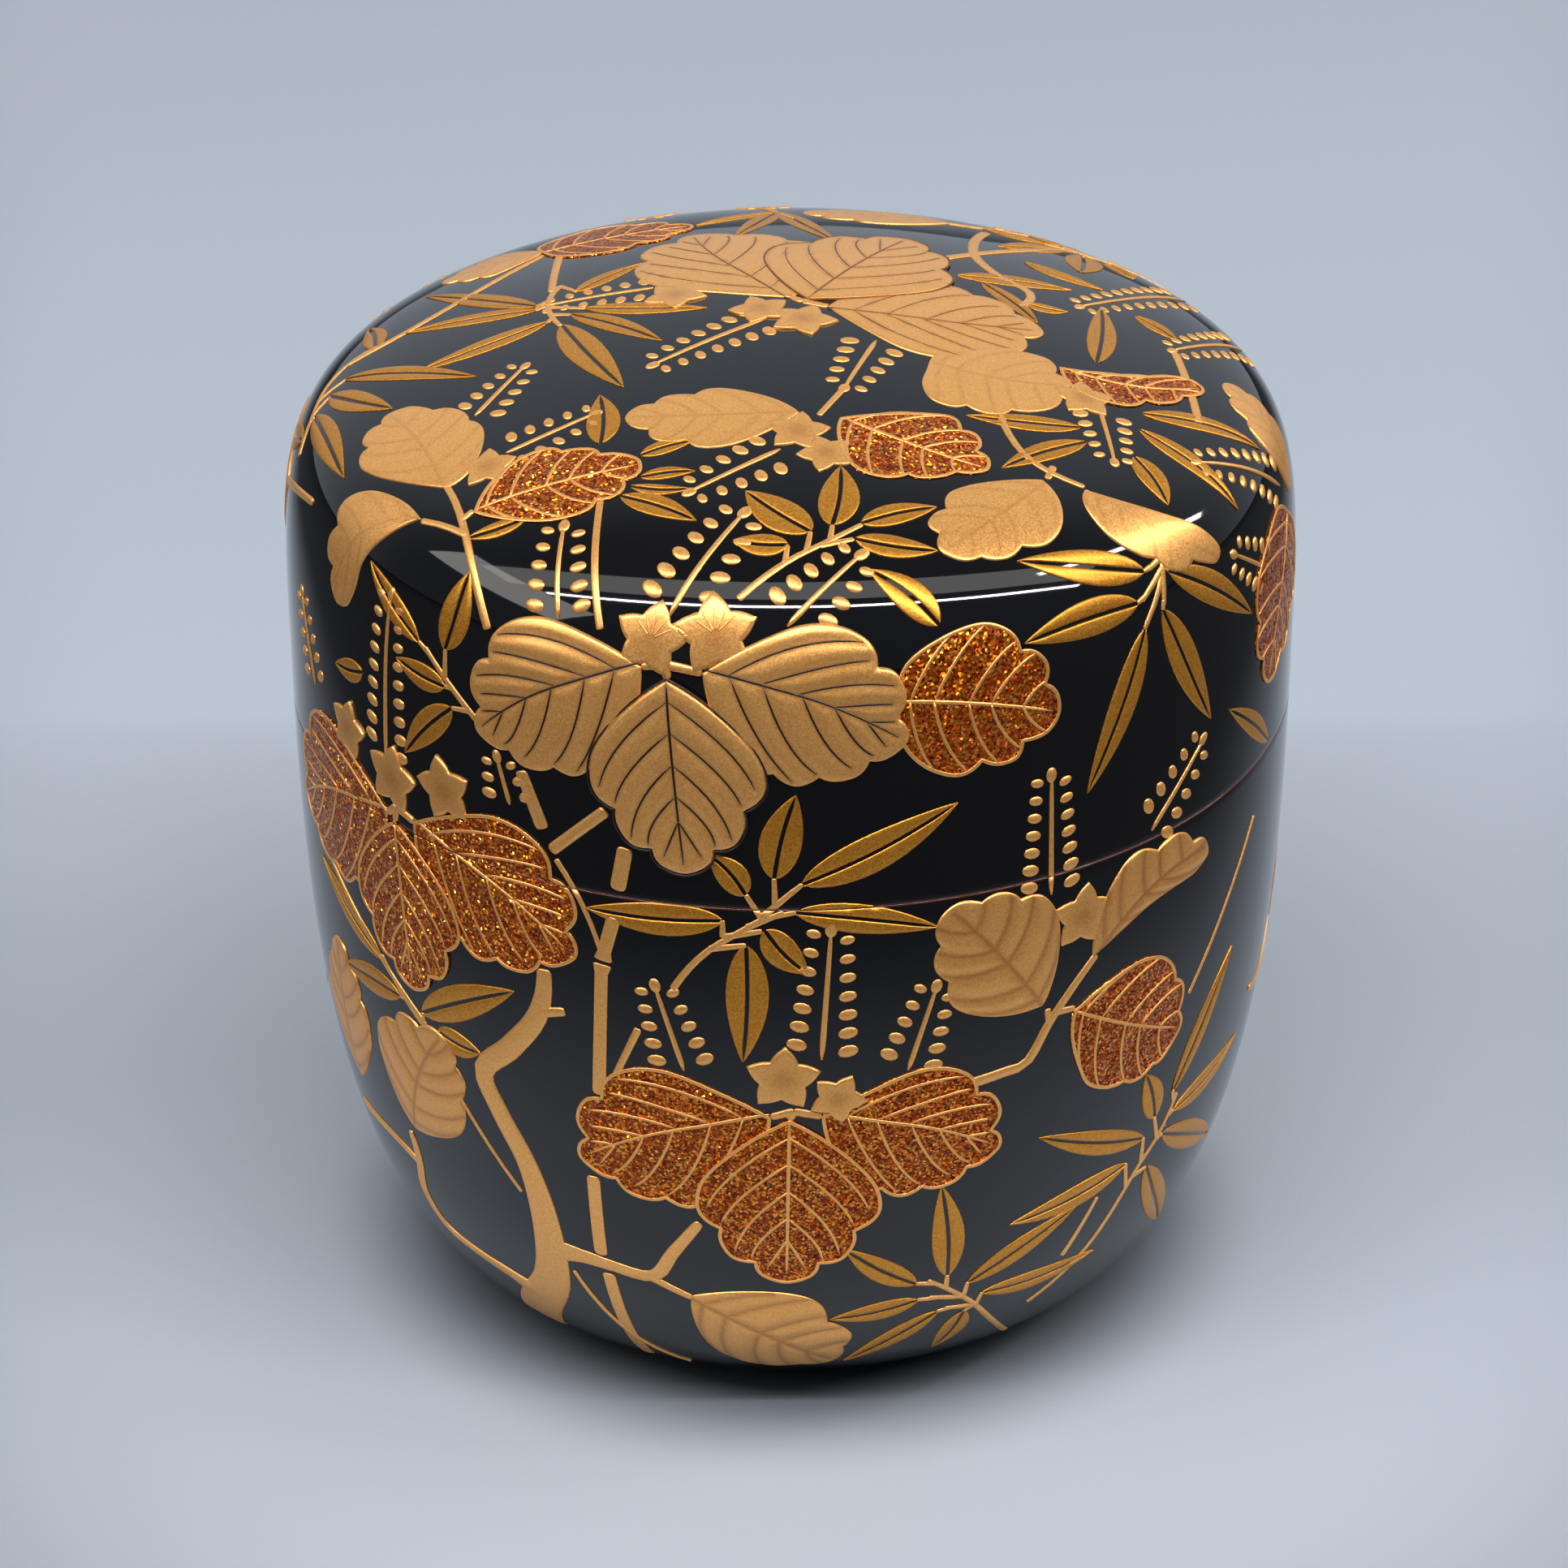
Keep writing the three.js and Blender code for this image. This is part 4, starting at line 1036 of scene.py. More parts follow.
def flake_bed():
    """Metal flakes in lacquer: a random value for each flake, and a colour to tilt it by."""
    tree, given, result = new_group(
        "flake_bed", {"Flakes per metre": 3000.0}, {"Value": "Float", "Tilt": "Color"},
    )
    texture, random = cells(tree, given.outputs["Flakes per metre"])
    feed(tree, result, {"Value": random.outputs["Red"], "Tilt": texture.outputs["Color"]})
    return tree


GRAIN = powder_grain()
FLAKES = flake_bed()
print("node groups:", ", ".join(group.name for group in bpy.data.node_groups))

# %% [markdown]
# ### Powdered gold
# The powder's tone runs from a brown gold to a pale one, and the shade that a motif carries in its
# mesh darkens it towards the veins. A weak bump turns single grains towards the light. Burnished
# powder is only partly a mirror: between the grains the light scatters, so it isn't all metal.

# %% Gold powder
POWDER = {"Grains per metre": 13000.0, "Cloudiness": 0.3}
METAL_SHARE = 0.74
POWDER_ROUGHNESS = (0.29, 0.42)


def powder_material(name, deep, middle, pale, line):
    """Powder in three tones, and the brown that it turns to beside a line."""
    material, tree, shader = plain_material(name, {"Metallic": METAL_SHARE})
    grain = node(tree, "ShaderNodeGroup", POWDER, node_tree=GRAIN)
    tone = grain.outputs["Tone"]
    shade = node(tree, "ShaderNodeAttribute", attribute_name="shade").outputs["Fac"]
    colours = ramp(tree, tone, (0.0, deep), (0.5, middle), (1.0, pale))
    bump = {"Strength": 0.12, "Distance": 0.02 * MM, "Height": grain.outputs["Height"]}
    feed(tree, shader, {
        "Base Color": blend(tree, shade, colours, line),
        "Roughness": remap(tree, tone, 0, 1, *POWDER_ROUGHNESS),
        "Normal": node(tree, "ShaderNodeBump", bump).outputs["Normal"],
    })
    return material


gold = powder_material(
    "gold_powder", (0.86, 0.37, 0.085), (0.94, 0.455, 0.125), (1.0, 0.55, 0.19), (0.36, 0.1, 0.02)
)
olive = powder_material(
    "olive_gold", (0.5, 0.188, 0.013), (0.63, 0.262, 0.025), (0.77, 0.355, 0.05), (0.2, 0.08, 0.01)
)
thin_line = powder_material(
    "brown_gold_line", (0.16, 0.06, 0.02), (0.22, 0.09, 0.03), (0.3, 0.13, 0.04), (0.1, 0.05, 0.02)
)

# %% [markdown]
# ### Flakes in red lacquer
# Each flake lies at its own angle under clear red-brown lacquer, so some flash and some stay dark.
# The tilt is added to the surface's own normal, which works from every side.

# %% Red flake ground
FLAKE_SIZES = {"Flakes per metre": 6500.0}
FLAKE_TILT = 1.1
FLAKE_COLOURS = [
    (0.0, (0.08, 0.006, 0.001)), (0.3, (0.25, 0.025, 0.002)), (0.55, (0.55, 0.1, 0.005)),
    (0.8, (0.95, 0.25, 0.012)), (0.96, (1.0, 0.5, 0.08)),
]


def flake_material():
    """Dark flakes are lacquer over red, and light ones are nearly bare metal."""
    material, tree, shader = plain_material(
        "red_gold_flake", {"Coat Weight": 0.05, "Roughness": 0.27, "Specular IOR Level": 0.15}
    )
    bed = node(tree, "ShaderNodeGroup", FLAKE_SIZES, node_tree=FLAKES)
    value = bed.outputs["Value"]
    centred = vector(tree, "SUBTRACT", bed.outputs["Tilt"], (0.5, 0.5, 0.5))
    tilt = vector(tree, "SCALE", centred, Scale=FLAKE_TILT)
    normal = node(tree, "ShaderNodeNewGeometry").outputs["Normal"]
    feed(tree, shader, {
        "Base Color": ramp(tree, value, *FLAKE_COLOURS),
        "Metallic": remap(tree, value, 0.35, 0.6, 0.5, 0.95),
        "Normal": vector(tree, "NORMALIZE", vector(tree, "ADD", tilt, normal)),
    })
    return material


red_flake = flake_material()
print("red flake:", len(FLAKE_COLOURS), "colours from dark lacquer to bright gold")

# %% [markdown]
# ### Black lacquer
# Polished lacquer is nearly a black mirror. What makes it real are small things: a haze left by the
# last polish, a few specks of dust, and the red-brown underlayer that shows where the lid's edge has
# rubbed. The lines that are left open in the gold, down to the ground, are a duller black.

# %% Lacquer
DEEP_BLACK = (0.002, 0.002, 0.0028, 1)
UNDERLAYER = (0.11, 0.028, 0.012)
DUST_GREY = (0.4, 0.41, 0.43)
HAZE_PER_METRE = 70.0
HAZE_ROUGHNESS = (0.03, 0.07)
SPECKS_PER_METRE = 260.0
SPECK_REACH = 0.022
SPECK_RARITY = 0.8
RUB_REACH = (0.16 * MM, 0.05 * MM)
RUBBED = 0.8


def lacquer_material():
    """Black gloss with haze and dust, rubbed to its underlayer at the seam."""
    material, tree, shader = plain_material("black_lacquer", {"IOR": 1.53})
    haze = noise(tree, HAZE_PER_METRE, 4.0)
    texture, random = cells(tree, SPECKS_PER_METRE)
    speck = number(tree, "LESS_THAN", texture.outputs["Distance"], SPECK_REACH)
    rare = number(tree, "GREATER_THAN", random.outputs["Red"], SPECK_RARITY)
    spot = node(tree, "ShaderNodeTexCoord").outputs["Object"]
    height = node(tree, "ShaderNodeSeparateXYZ", {0: spot}).outputs["Z"]
    above_seam = number(tree, "SUBTRACT", height, SEAM_HEIGHT * MM)
    wear = remap(tree, number(tree, "ABSOLUTE", above_seam), *RUB_REACH, 0, RUBBED)
    worn = blend(tree, wear, DEEP_BLACK, UNDERLAYER)
    feed(tree, shader, {
        "Base Color": blend(tree, number(tree, "MULTIPLY", speck, rare), worn, DUST_GREY),
        "Roughness": remap(tree, haze, 0.35, 0.75, *HAZE_ROUGHNESS),
    })
    return material


lacquer = lacquer_material()
line_black = plain_material(
    "reserve_line", {"Base Color": (0.012, 0.005, 0.003, 1), "Roughness": 0.3}
)[0]

# %% [markdown]
# ## Handing a piece over
# Each piece is attached to the body that it moves with, and the CAD nodes that it stands for are
# hidden. Fine growth stands for no node. Each style of work has its own row of finishes, in the order
# in which the shapes number them.

# %% Finishes of each style, and the two turned pieces
FINISHES = {
    "high": ([gold, line_black], "gold_powder"),
    "lined": ([gold, thin_line], "gold_powder"),
    "plain": ([gold], "gold_powder"),
    "soft": ([gold], "gold_powder"),
    "flake": ([red_flake, gold], "red_gold_flake"),
    "bamboo": ([olive, gold], "olive_gold"),
}
SEAM_SIDES = {"lid": 1, "body": -1}
made_pieces = []


def hand_over(piece, body, slot, *nodes):
    """Attaches a piece to the body that it moves with and hides the CAD nodes that it stands for. The
    slot argument is not used.
    """
    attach(piece, body)
    if nodes:
        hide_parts(*nodes)


def finish_piece(motif, name, body, style, *nodes, cut=False):
    """Makes a motif's mesh and hands it over. A cut one keeps only its own side of the seam."""
    materials, slot = FINISHES[style]
    piece = motif.made(name, materials, SEAM_SIDES[body] if cut else 0)
    hand_over(piece, body, slot, *nodes)
    made_pieces.append(piece)
    return piece


for piece, body in ((caddy_body, "body"), (caddy_lid, "lid")):
    piece.data.materials.append(lacquer)
    hand_over(piece, body, "black_lacquer", body)
print("styles of gold:", ", ".join(FINISHES))

# %% [markdown]
# ## Paulownia sprays
# A spray is three leaves from one joint, with star flowers above it. The middle leaf is laid last
# and a little higher, so it reads as lying over the other two. Each leaf has its own base beside the
# joint, and a short stalk ties it in. The sprays at the back repeat the front ones, turned round.

# %% The sprays
FRONT = {
    "joint": (-13.5, 0.638),
    "leaves": [
        ("side", (-16, 0.6355), (-35.5, 0.5715), 1), ("side", (-9.5, 0.635), (12, 0.591), -1),
        ("middle", (-13.2, 0.6295), (-11.3, 0.4985), 1),
    ],
    "stars": [(-15.2, 0.653, 5.4, 10), (-8.2, 0.659, 5.9, -8)],
}
CENTRE = {
    "joint": (0, 0.3265),
    "leaves": [
        ("side", (-2.5, 0.322), (-25, 0.2735), 1), ("side", (3, 0.3225), (23.8, 0.2815), -1),
        ("middle", (-0.5, 0.3205), (-1, 0.179), 1),
    ],
    "stars": [(4.8, 0.336, 4.2, 28), (-1.2, 0.3515, 5.4, 4)],
}
LEFT = {
    "joint": (-48.5, 0.488),
    "leaves": [
        ("side", (-50, 0.4805), (-73, 0.4365), 1), ("side", (-45.6, 0.484), (-24, 0.43), -1),
        ("middle", (-48.8, 0.4775), (-47.3, 0.3535), 1),
    ],
    "stars": [(-57.5, 0.523, 4.6, 10), (-49, 0.508, 5.4, 8), (-40.5, 0.518, 5.2, -14)],
}
CROWN = {
    "joint": (60.5, 0.99),
    "leaves": [
        ("side", (150, 0.998), (-155, 0.839), -1), ("side", (63, 0.9725), (82.5, 0.8345), 1),
        ("middle", (79, 0.988), (149, 0.842), 1),
    ],
    "stars": [(-100, 0.924, 4.8, 150), (-47, 0.974, 4.6, 150), (14, 0.965, 5, 180)],
}
OVER = {"high": 0.17, "lined": 0.07, "flake": 0.06}
BACK_TURN = 200
REAR_TURN = 152.5
SPRAYS = [
    ("front_spray", "lid", "high", FRONT, 0, "lid_spray_front", False),
    ("crown_spray", "lid", "lined", CROWN, 0, "lid_spray_crown", False),
    ("rear_spray", "lid", "high", FRONT, BACK_TURN, "lid_spray_back", False),
    ("centre_spray", "body", "flake", CENTRE, 0, "body_spray_centre", False),
    ("rear_red_spray", "body", "flake", CENTRE, REAR_TURN, "body_spray_back", False),
    ("left_spray_lid", "lid", "flake", LEFT, 0, "lid_spray_left", True),
    ("left_spray_body", "body", "flake", LEFT, 0, "body_spray_left", True),
]


def lay_spray(motif, style, spray, turned_by):
    """The leaves, their stalks and the flowers, turned round the caddy's axis."""
    powder = 1 if style == "flake" else 0

    def around(spot):
        return spot[0] + turned_by, spot[1]

    for index, (form, base, tip, flip) in enumerate(spray["leaves"]):
        last = index == len(spray["leaves"]) - 1
        stalk = spots(around(spray["joint"]), around(base))
        lay_stem(motif, stalk, (0.7, 0.6), 0.15, finish=powder)
        lay_leaf(motif, form, around(base), around(tip), style, flip,
                 OVER[style] if last else 0, last and style != "flake")
    for azimuth, share, size, turn in spray["stars"]:
        lay_star(motif, around((azimuth, share)), size, turn, 0.08, powder, style == "high")


for name, body, style, spray, turned_by, cad_node, cut in SPRAYS:
    motif = Motif()
    lay_spray(motif, style, spray, turned_by)
    piece = finish_piece(motif, name, body, style, cad_node, cut=cut)
    print(f"{name}: {len(piece.data.polygons)} faces")

# %% [markdown]
# ## Single leaves
# Smaller leaves hang from the stems between the sprays. Some are plain gold and some have the
# flaked ground. Each takes the outline that it has on the caddy, from its own base to its own tip.

# %% Lay the single leaves
SINGLES = [
    ("lid_leaf_left", "nodding", (-50, 0.7155), (-67, 0.694), "plain", 1),
    ("lid_leaf_left_curled", "curled", (-49, 0.6865), (-60.5, 0.606), "plain", 1),
    ("lid_leaf_left_red", "slender", (-43, 0.706), (-25, 0.78), "flake", 1),
    ("lid_leaf_middle", "lying", (1.7, 0.849), (-36, 0.8225), "plain", 1),
    ("lid_leaf_middle_red", "leaning", (11.4, 0.843), (33, 0.77), "flake", 1),
    ("lid_leaf_right", "broad", (46, 0.8805), (65, 0.7995), "plain", 1),
    ("lid_leaf_right_red", "edge_on", (69.6, 0.8125), (80, 0.7225), "flake", 1),
    ("lid_leaf_right_front", "drooping", (39, 0.742), (19, 0.7335), "plain", 1),
    ("lid_leaf_right_folded", "folded", (42.5, 0.727), (56, 0.646), "plain", 1),
    ("lid_leaf_front_red", "round", (12.2, 0.614), (29.3, 0.591), "flake", 1),
    ("lid_leaf_shoulder", "lying", (78.5, 0.633), (84, 0.711), "plain", 1),
    ("lid_leaf_side_red", "round", (74.5, 0.622), (66, 0.5295), "flake", -1),
    ("lid_leaf_back", "lying", (153, 0.7535), (177.5, 0.768), "plain", 1),
    ("lid_leaf_back_red", "round", (-134.5, 0.7715), (-160, 0.807), "flake", 1),
    ("lid_leaf_back_left", "leaning", (-133.5, 0.769), (-119.5, 0.7265), "plain", 1),
    ("lid_leaf_side", "low", (-84, 0.63), (-101, 0.585), "plain", 1),
    ("lid_leaf_rear_red", "round", (142, 0.62), (125, 0.59), "flake", -1),
    ("body_leaf_right", "upright", (28.9, 0.375), (15.6, 0.4555), "soft", 1),
    ("body_leaf_right_folded", "half", (35, 0.407), (53, 0.4465), "soft", 1),
    ("body_leaf_right_red", "turned", (32.3, 0.3715), (48.6, 0.36), "flake", 1),
    ("body_leaf_low", "low", (-13, 0.1585), (7.4, 0.113), "soft", 1),
    ("body_leaf_left", "climbing", (-52.7, 0.224), (-51.3, 0.322), "soft", 1),
    ("body_leaf_far_left", "slender", (-66, 0.231), (-64.5, 0.344), "soft", 1),
    ("body_leaf_side", "leaning", (83, 0.3), (98, 0.37), "soft", 1),
    ("body_leaf_side_left", "upright", (-104, 0.29), (-119, 0.35), "soft", 1),
    ("body_leaf_back", "broad", (196, 0.26), (213, 0.31), "soft", 1),
    ("body_leaf_back_red", "round", (218, 0.4), (202, 0.455), "flake", -1),
]
for cad_node, form, base, tip, style, flip in SINGLES:
    motif = Motif()
    lay_leaf(motif, form, base, tip, style, flip)
    finish_piece(motif, f"{cad_node}_relief", cad_node.split("_")[0], style, cad_node)
print(f"{len(SINGLES)} single leaves")

# %% [markdown]
# ## Bamboo
# The bamboo leaves are laid in an olive gold that is duller than the paulownia's. Each sprig is a
# jointed stem with pointed leaves, and each leaf is two half blades with a dark midrib between. The
# stem and the short stalks of the leaves are in the bright gold.

# %% How a sprig is laid
STALK_GAP = 0.3
STALK_LEAN = 0.9
STALK_REACH = 3.0
BLADE_BOWS = (-0.18, 0.22)


def lay_sprig(motif, stems, blades):
    """Stems first, then each leaf with a stalk that leans back to the nearest stem."""
    routes = [lay_stem(motif, spots(*places), (0.55, 0.4), 0.08, finish=1) for places in stems]
    for index, (azimuth, share, tip_azimuth, tip_share, width) in enumerate(blades):
        base = place(azimuth, share)[0]
        gaps = [np.linalg.norm(route.line - base, axis=1) for route in routes]
        nearest = min(range(len(routes)), key=lambda which: gaps[which].min())
        route, gap = routes[nearest], gaps[nearest]
        back = int(gap.min() * STALK_LEAN / route.length * LINE_POINTS)
        if STALK_GAP < gap.min() < STALK_REACH:
            joint = route.line[max(gap.argmin() - back, 0)]
            lay_stem(motif, [joint, base], (0.45, 0.35), 0.08, finish=1)
        tip = (tip_azimuth, tip_share)
        lay_blade(motif, (azimuth, share), tip, width, BLADE_BOWS[index % 2])


def turned_sprig(sprig, by):
    """The same sprig further round the caddy, by some degrees."""
    stems, blades = sprig
    return (
        [[(azimuth + by, share) for azimuth, share in places] for places in stems],
        [(azimuth + by, share, tip + by, *rest) for azimuth, share, tip, *rest in blades],
    )


# %% Lay the bamboo sprigs
SPRIGS = {
    "lid_bamboo_right": ([[(46.3, 0.667), (44.5, 0.65), (41.4, 0.628)], [(45.2, 0.657), (41.2, 0.643)],
                          [(45.2, 0.657), (44.3, 0.635)], [(46, 0.664), (43.2, 0.66)]],
     [(42.5, 0.66, 27.5, 0.692, 2.6), (40.5, 0.643, 25.5, 0.64, 2.6), (41, 0.625, 33, 0.528, 2.5),
      (44, 0.632, 52, 0.5405, 2.6), (46, 0.654, 60.5, 0.592, 2.4)]),
    "lid_bamboo_left": ([[(-34.5, 0.571), (-39, 0.592), (-43, 0.612)]],
     [(-44, 0.614, -53.5, 0.648, 2), (-40, 0.616, -38.5, 0.6685, 2.6),
      (-40, 0.591, -47.5, 0.596, 2), (-39, 0.578, -46.5, 0.532, 2.3), (-54, 0.571, -60, 0.563, 1.8)]),
    "lid_bamboo_shoulder": ([[(-81, 0.655), (-84.5, 0.672), (-90.5, 0.686), (-94, 0.7), (-97.5, 0.732)]],
     [(-89, 0.703, -73, 0.787, 2), (-86.5, 0.691, -73.5, 0.73, 2.3), (-84.5, 0.677, -66, 0.679, 2.4),
      (-96, 0.72, -106, 0.7, 2), (-83, 0.662, -94, 0.64, 2)]),
    "lid_bamboo_crown": ([[(-112, 0.835), (-100, 0.838), (-85.5, 0.85)]],
     [(-100, 0.83, -114, 0.728, 2.2), (-97.5, 0.831, -98.5, 0.74, 2), (-89, 0.841, -82, 0.754, 2.2),
      (-85.5, 0.851, -44, 0.847, 2.8), (-91.5, 0.857, -56.5, 0.901, 2),
      (-94.5, 0.866, -78.5, 0.945, 2), (-107.5, 0.852, -131, 0.87, 1.8)]),
    "lid_bamboo_front": ([[(-6, 0.681), (-0.5, 0.708), (4.5, 0.723), (9.5, 0.736)],
                          [(3.5, 0.72), (8, 0.724)]],
     [(2.5, 0.732, -7, 0.768, 3), (5.5, 0.737, 8.5, 0.791, 2.8), (9.5, 0.737, 20.5, 0.743, 2),
      (8.2, 0.724, 18, 0.7075, 2), (-0.5, 0.721, -7.5, 0.7235, 2), (16, 0.66, 9.5, 0.7, 2.4)]),
    "lid_bamboo_back": ([[(-150, 0.6), (-148, 0.64), (-149, 0.67)]],
     [(-148.5, 0.64, -134, 0.605, 2.4), (-148.5, 0.65, -135, 0.665, 2.2),
      (-149.3, 0.612, -139, 0.555, 2.4), (-148.5, 0.64, -159, 0.685, 2.2)]),
    "body_bamboo_low": ([[(34, 0.06), (28, 0.102), (22.5, 0.141), (16.5, 0.17)],
                         [(22, 0.145), (17, 0.152)], [(24, 0.132), (19.5, 0.136)]],
     [(15, 0.169, 6, 0.209, 2.2), (19, 0.172, 17, 0.2555, 2.5), (22, 0.16, 36, 0.202, 2.3),
      (24.5, 0.1445, 42, 0.144, 2.1), (15.5, 0.1515, 4.5, 0.14, 2.1), (18.5, 0.134, 7, 0.078, 2.2),
      (22.5, 0.127, 20, 0.08, 2.2)]),
    "body_bamboo_right": ([[(33, 0.112), (40, 0.15), (46, 0.209), (49, 0.229), (51.5, 0.258)],
                           [(36, 0.156), (39.5, 0.202)]],
     [(46, 0.236, 29, 0.276, 2.2), (47.5, 0.249, 44.5, 0.292, 2.3), (50.5, 0.263, 60.5, 0.348, 2.2),
      (51.5, 0.244, 67, 0.257, 2.2), (50, 0.228, 67.5, 0.172, 2.6), (48, 0.205, 60.5, 0.113, 2.6),
      (43.5, 0.2205, 26.5, 0.207, 2.3)]),
    "body_bamboo_left": ([[(-42, 0.318), (-46.5, 0.329), (-53.5, 0.365)]],
     [(-53.5, 0.362, -68, 0.398, 2.2), (-50.5, 0.3415, -63.5, 0.33, 2.4),
      (-46.5, 0.339, -32, 0.387, 2.8), (-44, 0.331, -37.5, 0.329, 2.2)]),
    "body_bamboo_back": ([[(108, 0.08), (109, 0.14), (107, 0.2)]],
     [(108.7, 0.12, 123, 0.155, 2.4), (108.7, 0.14, 96, 0.17, 2.4), (107.5, 0.19, 118, 0.24, 2.4),
      (107.2, 0.19, 97, 0.245, 2.4), (108.5, 0.1, 98, 0.09, 2.2)]),
}
CROSSING_SPRIG = (
    [[(-13, 0.414), (-9.5, 0.442), (-5, 0.462), (-2.5, 0.472)], [(-3.4, 0.47), (0.2, 0.49)],
     [(-5, 0.4625), (-1, 0.474)], [(-7.5, 0.455), (-3.3, 0.4605)], [(-9, 0.446), (-5, 0.45)]],
    [(-7.5, 0.467, -22.5, 0.464, 2.6), (-5, 0.486, -8.8, 0.513, 2.2), (-2, 0.498, 0.3, 0.556, 2.9),
     (1, 0.494, 17.5, 0.542, 2.9), (0.3, 0.474, 15.5, 0.457, 2.3), (-3, 0.461, 1.5, 0.43, 2.4),
     (-5, 0.4495, -5.5, 0.364, 3)],
)
for cad_node, sprig in SPRIGS.items():
    motif = Motif()
    lay_sprig(motif, *sprig)
    finish_piece(motif, f"{cad_node}_relief", cad_node.split("_")[0], "bamboo", cad_node)
print(f"{len(SPRIGS)} sprigs, and one that crosses the seam")

# %% [markdown]
# ### Loose bamboo and the sprigs over the seam
# Some leaves of bamboo show singly between the sprays. They are too few and too fine for a node of
# their own, so they are one piece on the lid and one on the body. At the back the sprigs of the front
# come again, turned round the axis. The one at the front that runs over the seam is laid twice and
# cut, once for the lid and once for the body.

# %% Lay the loose bamboo
LOOSE_BLADES = [
    (53, 0.77, 37.5, 0.818, 1.9), (50.5, 0.758, 34, 0.764, 1.9), (65, 0.75, 74, 0.675, 2),
    (60.5, 0.743, 61.5, 0.662, 2), (54, 0.73, 51, 0.69, 2.2), (76, 0.795, 102.5, 0.787, 2.2),
    (101, 0.764, 94, 0.741, 1.8), (67.5, 0.483, 56, 0.536, 1.8), (-24, 0.77, -16, 0.783, 1.3),
    (-24.5, 0.76, -15.5, 0.766, 1.1), (-25, 0.75, -13, 0.738, 2), (-35, 0.792, -46, 0.832, 2.4),
    (-26.5, 0.79, -19, 0.812, 1.5), (-178, 0.768, -161, 0.804, 1.9), (-178, 0.768, -165, 0.858, 2),
    (-178, 0.768, 165.5, 0.876, 2), (118.5, 0.873, 110, 0.799, 2.4), (99, 0.842, 97, 0.815, 1.6),
    (112, 0.862, 88, 0.838, 1.8), (126, 0.802, 112, 0.772, 1.9), (-35.5, 0.713, -41, 0.687, 1.4),
]
LOOSE_STEMS = [[(-174, 0.7), (-178, 0.768), (179, 0.8)]]
LOOSE_SPRIGS = {
    "lid": [
        (LOOSE_STEMS, LOOSE_BLADES), turned_sprig(CROSSING_SPRIG, BACK_TURN),
        turned_sprig(SPRIGS["lid_bamboo_front"], 128),
    ],
    "body": [
        turned_sprig(CROSSING_SPRIG, BACK_TURN), turned_sprig(SPRIGS["body_bamboo_low"], 156),
        turned_sprig(SPRIGS["body_bamboo_left"], 172), turned_sprig(SPRIGS["body_bamboo_low"], -118),
        turned_sprig(SPRIGS["body_bamboo_right"], 212),
    ],
}
for body, sprigs in LOOSE_SPRIGS.items():
    motif = Motif()
    for sprig in sprigs:
        lay_sprig(motif, *sprig)
    finish_piece(motif, f"{body}_bamboo_loose", body, "bamboo", cut=True)
for body in SEAM_SIDES:
    motif = Motif()
    lay_sprig(motif, *CROSSING_SPRIG)
    name = f"{body}_bamboo_centre"
    finish_piece(motif, f"{name}_relief", body, "bamboo", name, cut=True)
print(f"{len(LOOSE_BLADES)} loose blades")

# %% [markdown]
# ## Trunk and culm
# An old paulownia trunk climbs from the foot at the left, and a bamboo culm stands beside it and
# runs over the seam on to the lid. The culm is drawn in lengths with a gap where a leaf hides it,
# and swells at its node.

# %% Lay the wood
TRUNK = [
    ([(-28, 0.411), (-29, 0.376), (-33, 0.343), (-37.3, 0.315), (-35.5, 0.286), (-32.5, 0.25),
      (-31.2, 0.2), (-32.5, 0.145), (-37.5, 0.1), (-41, 0.064)],
     (1.15, 1.6, 1.8, 1.75, 1.8, 1.9, 2.5, 3.1, 3.6, 3.9)),
    ([(-29, 0.377), (-25.6, 0.383)], (0.9, 0.7)),
    ([(-32, 0.176), (-27, 0.179), (-23, 0.177), (-17.5, 0.175), (-14.5, 0.201), (-11, 0.231)],
     (2.6, 1.5, 1.15, 1.15, 1, 0.8)),
    ([(-18, 0.174), (-12.8, 0.1585)], (0.7, 0.6)),
    ([(-36, 0.112), (-40.5, 0.125), (-46, 0.131), (-52, 0.139), (-54.5, 0.165), (-53, 0.2),
      (-53.3, 0.224)], (2.6, 1.3, 1, 0.95, 0.95, 0.9, 0.7)),
    ([(-53.4, 0.196), (-58.5, 0.202), (-69, 0.199)], (0.8, 0.7)),
    ([(-28.5, 0.161), (-23, 0.1), (-16, 0.058)], (0.35, 0.4)),
]
BACK_TRUNK = [
    ([(224, 0.06), (219, 0.13), (224, 0.2), (217, 0.27), (219, 0.36)], (3.2, 2.6, 1.9, 1.6, 1.2)),
    ([(222, 0.19), (231, 0.22), (235, 0.28)], (1.3, 1)),
    ([(220.5, 0.15), (209, 0.18), (197, 0.185)], (1.3, 1)),
]
CULM = [
    ([(-22.5, 0.06), (-23.2, 0.12), (-23.5, 0.168)], (1.05,)),
    ([(-24, 0.186), (-23.6, 0.256)], (1.05,)),
    ([(-22, 0.325), (-21.4, 0.38), (-21, 0.4235)], (1.05, 1, 1)),
    ([(-21.05, 0.4175), (-20.9, 0.4245)], (1, 1.4)), ([(-20.8, 0.4275), (-20.6, 0.434)], (1.4, 1)),
    ([(-20.9, 0.428), (-19.4, 0.46)], (1, 1.05)), ([(-18.9, 0.4805), (-17.9, 0.511)], (1.15,)),
]
BACK_CULM = [([(240, 0.06), (238, 0.25), (240, 0.46)], (1.3, 1.2))]


def lay_wood(routes, crest):
    """A motif of stout stems."""
    motif = Motif()
    for places, widths in routes:
        lay_stem(motif, spots(*places), widths, crest, 12)
    return motif


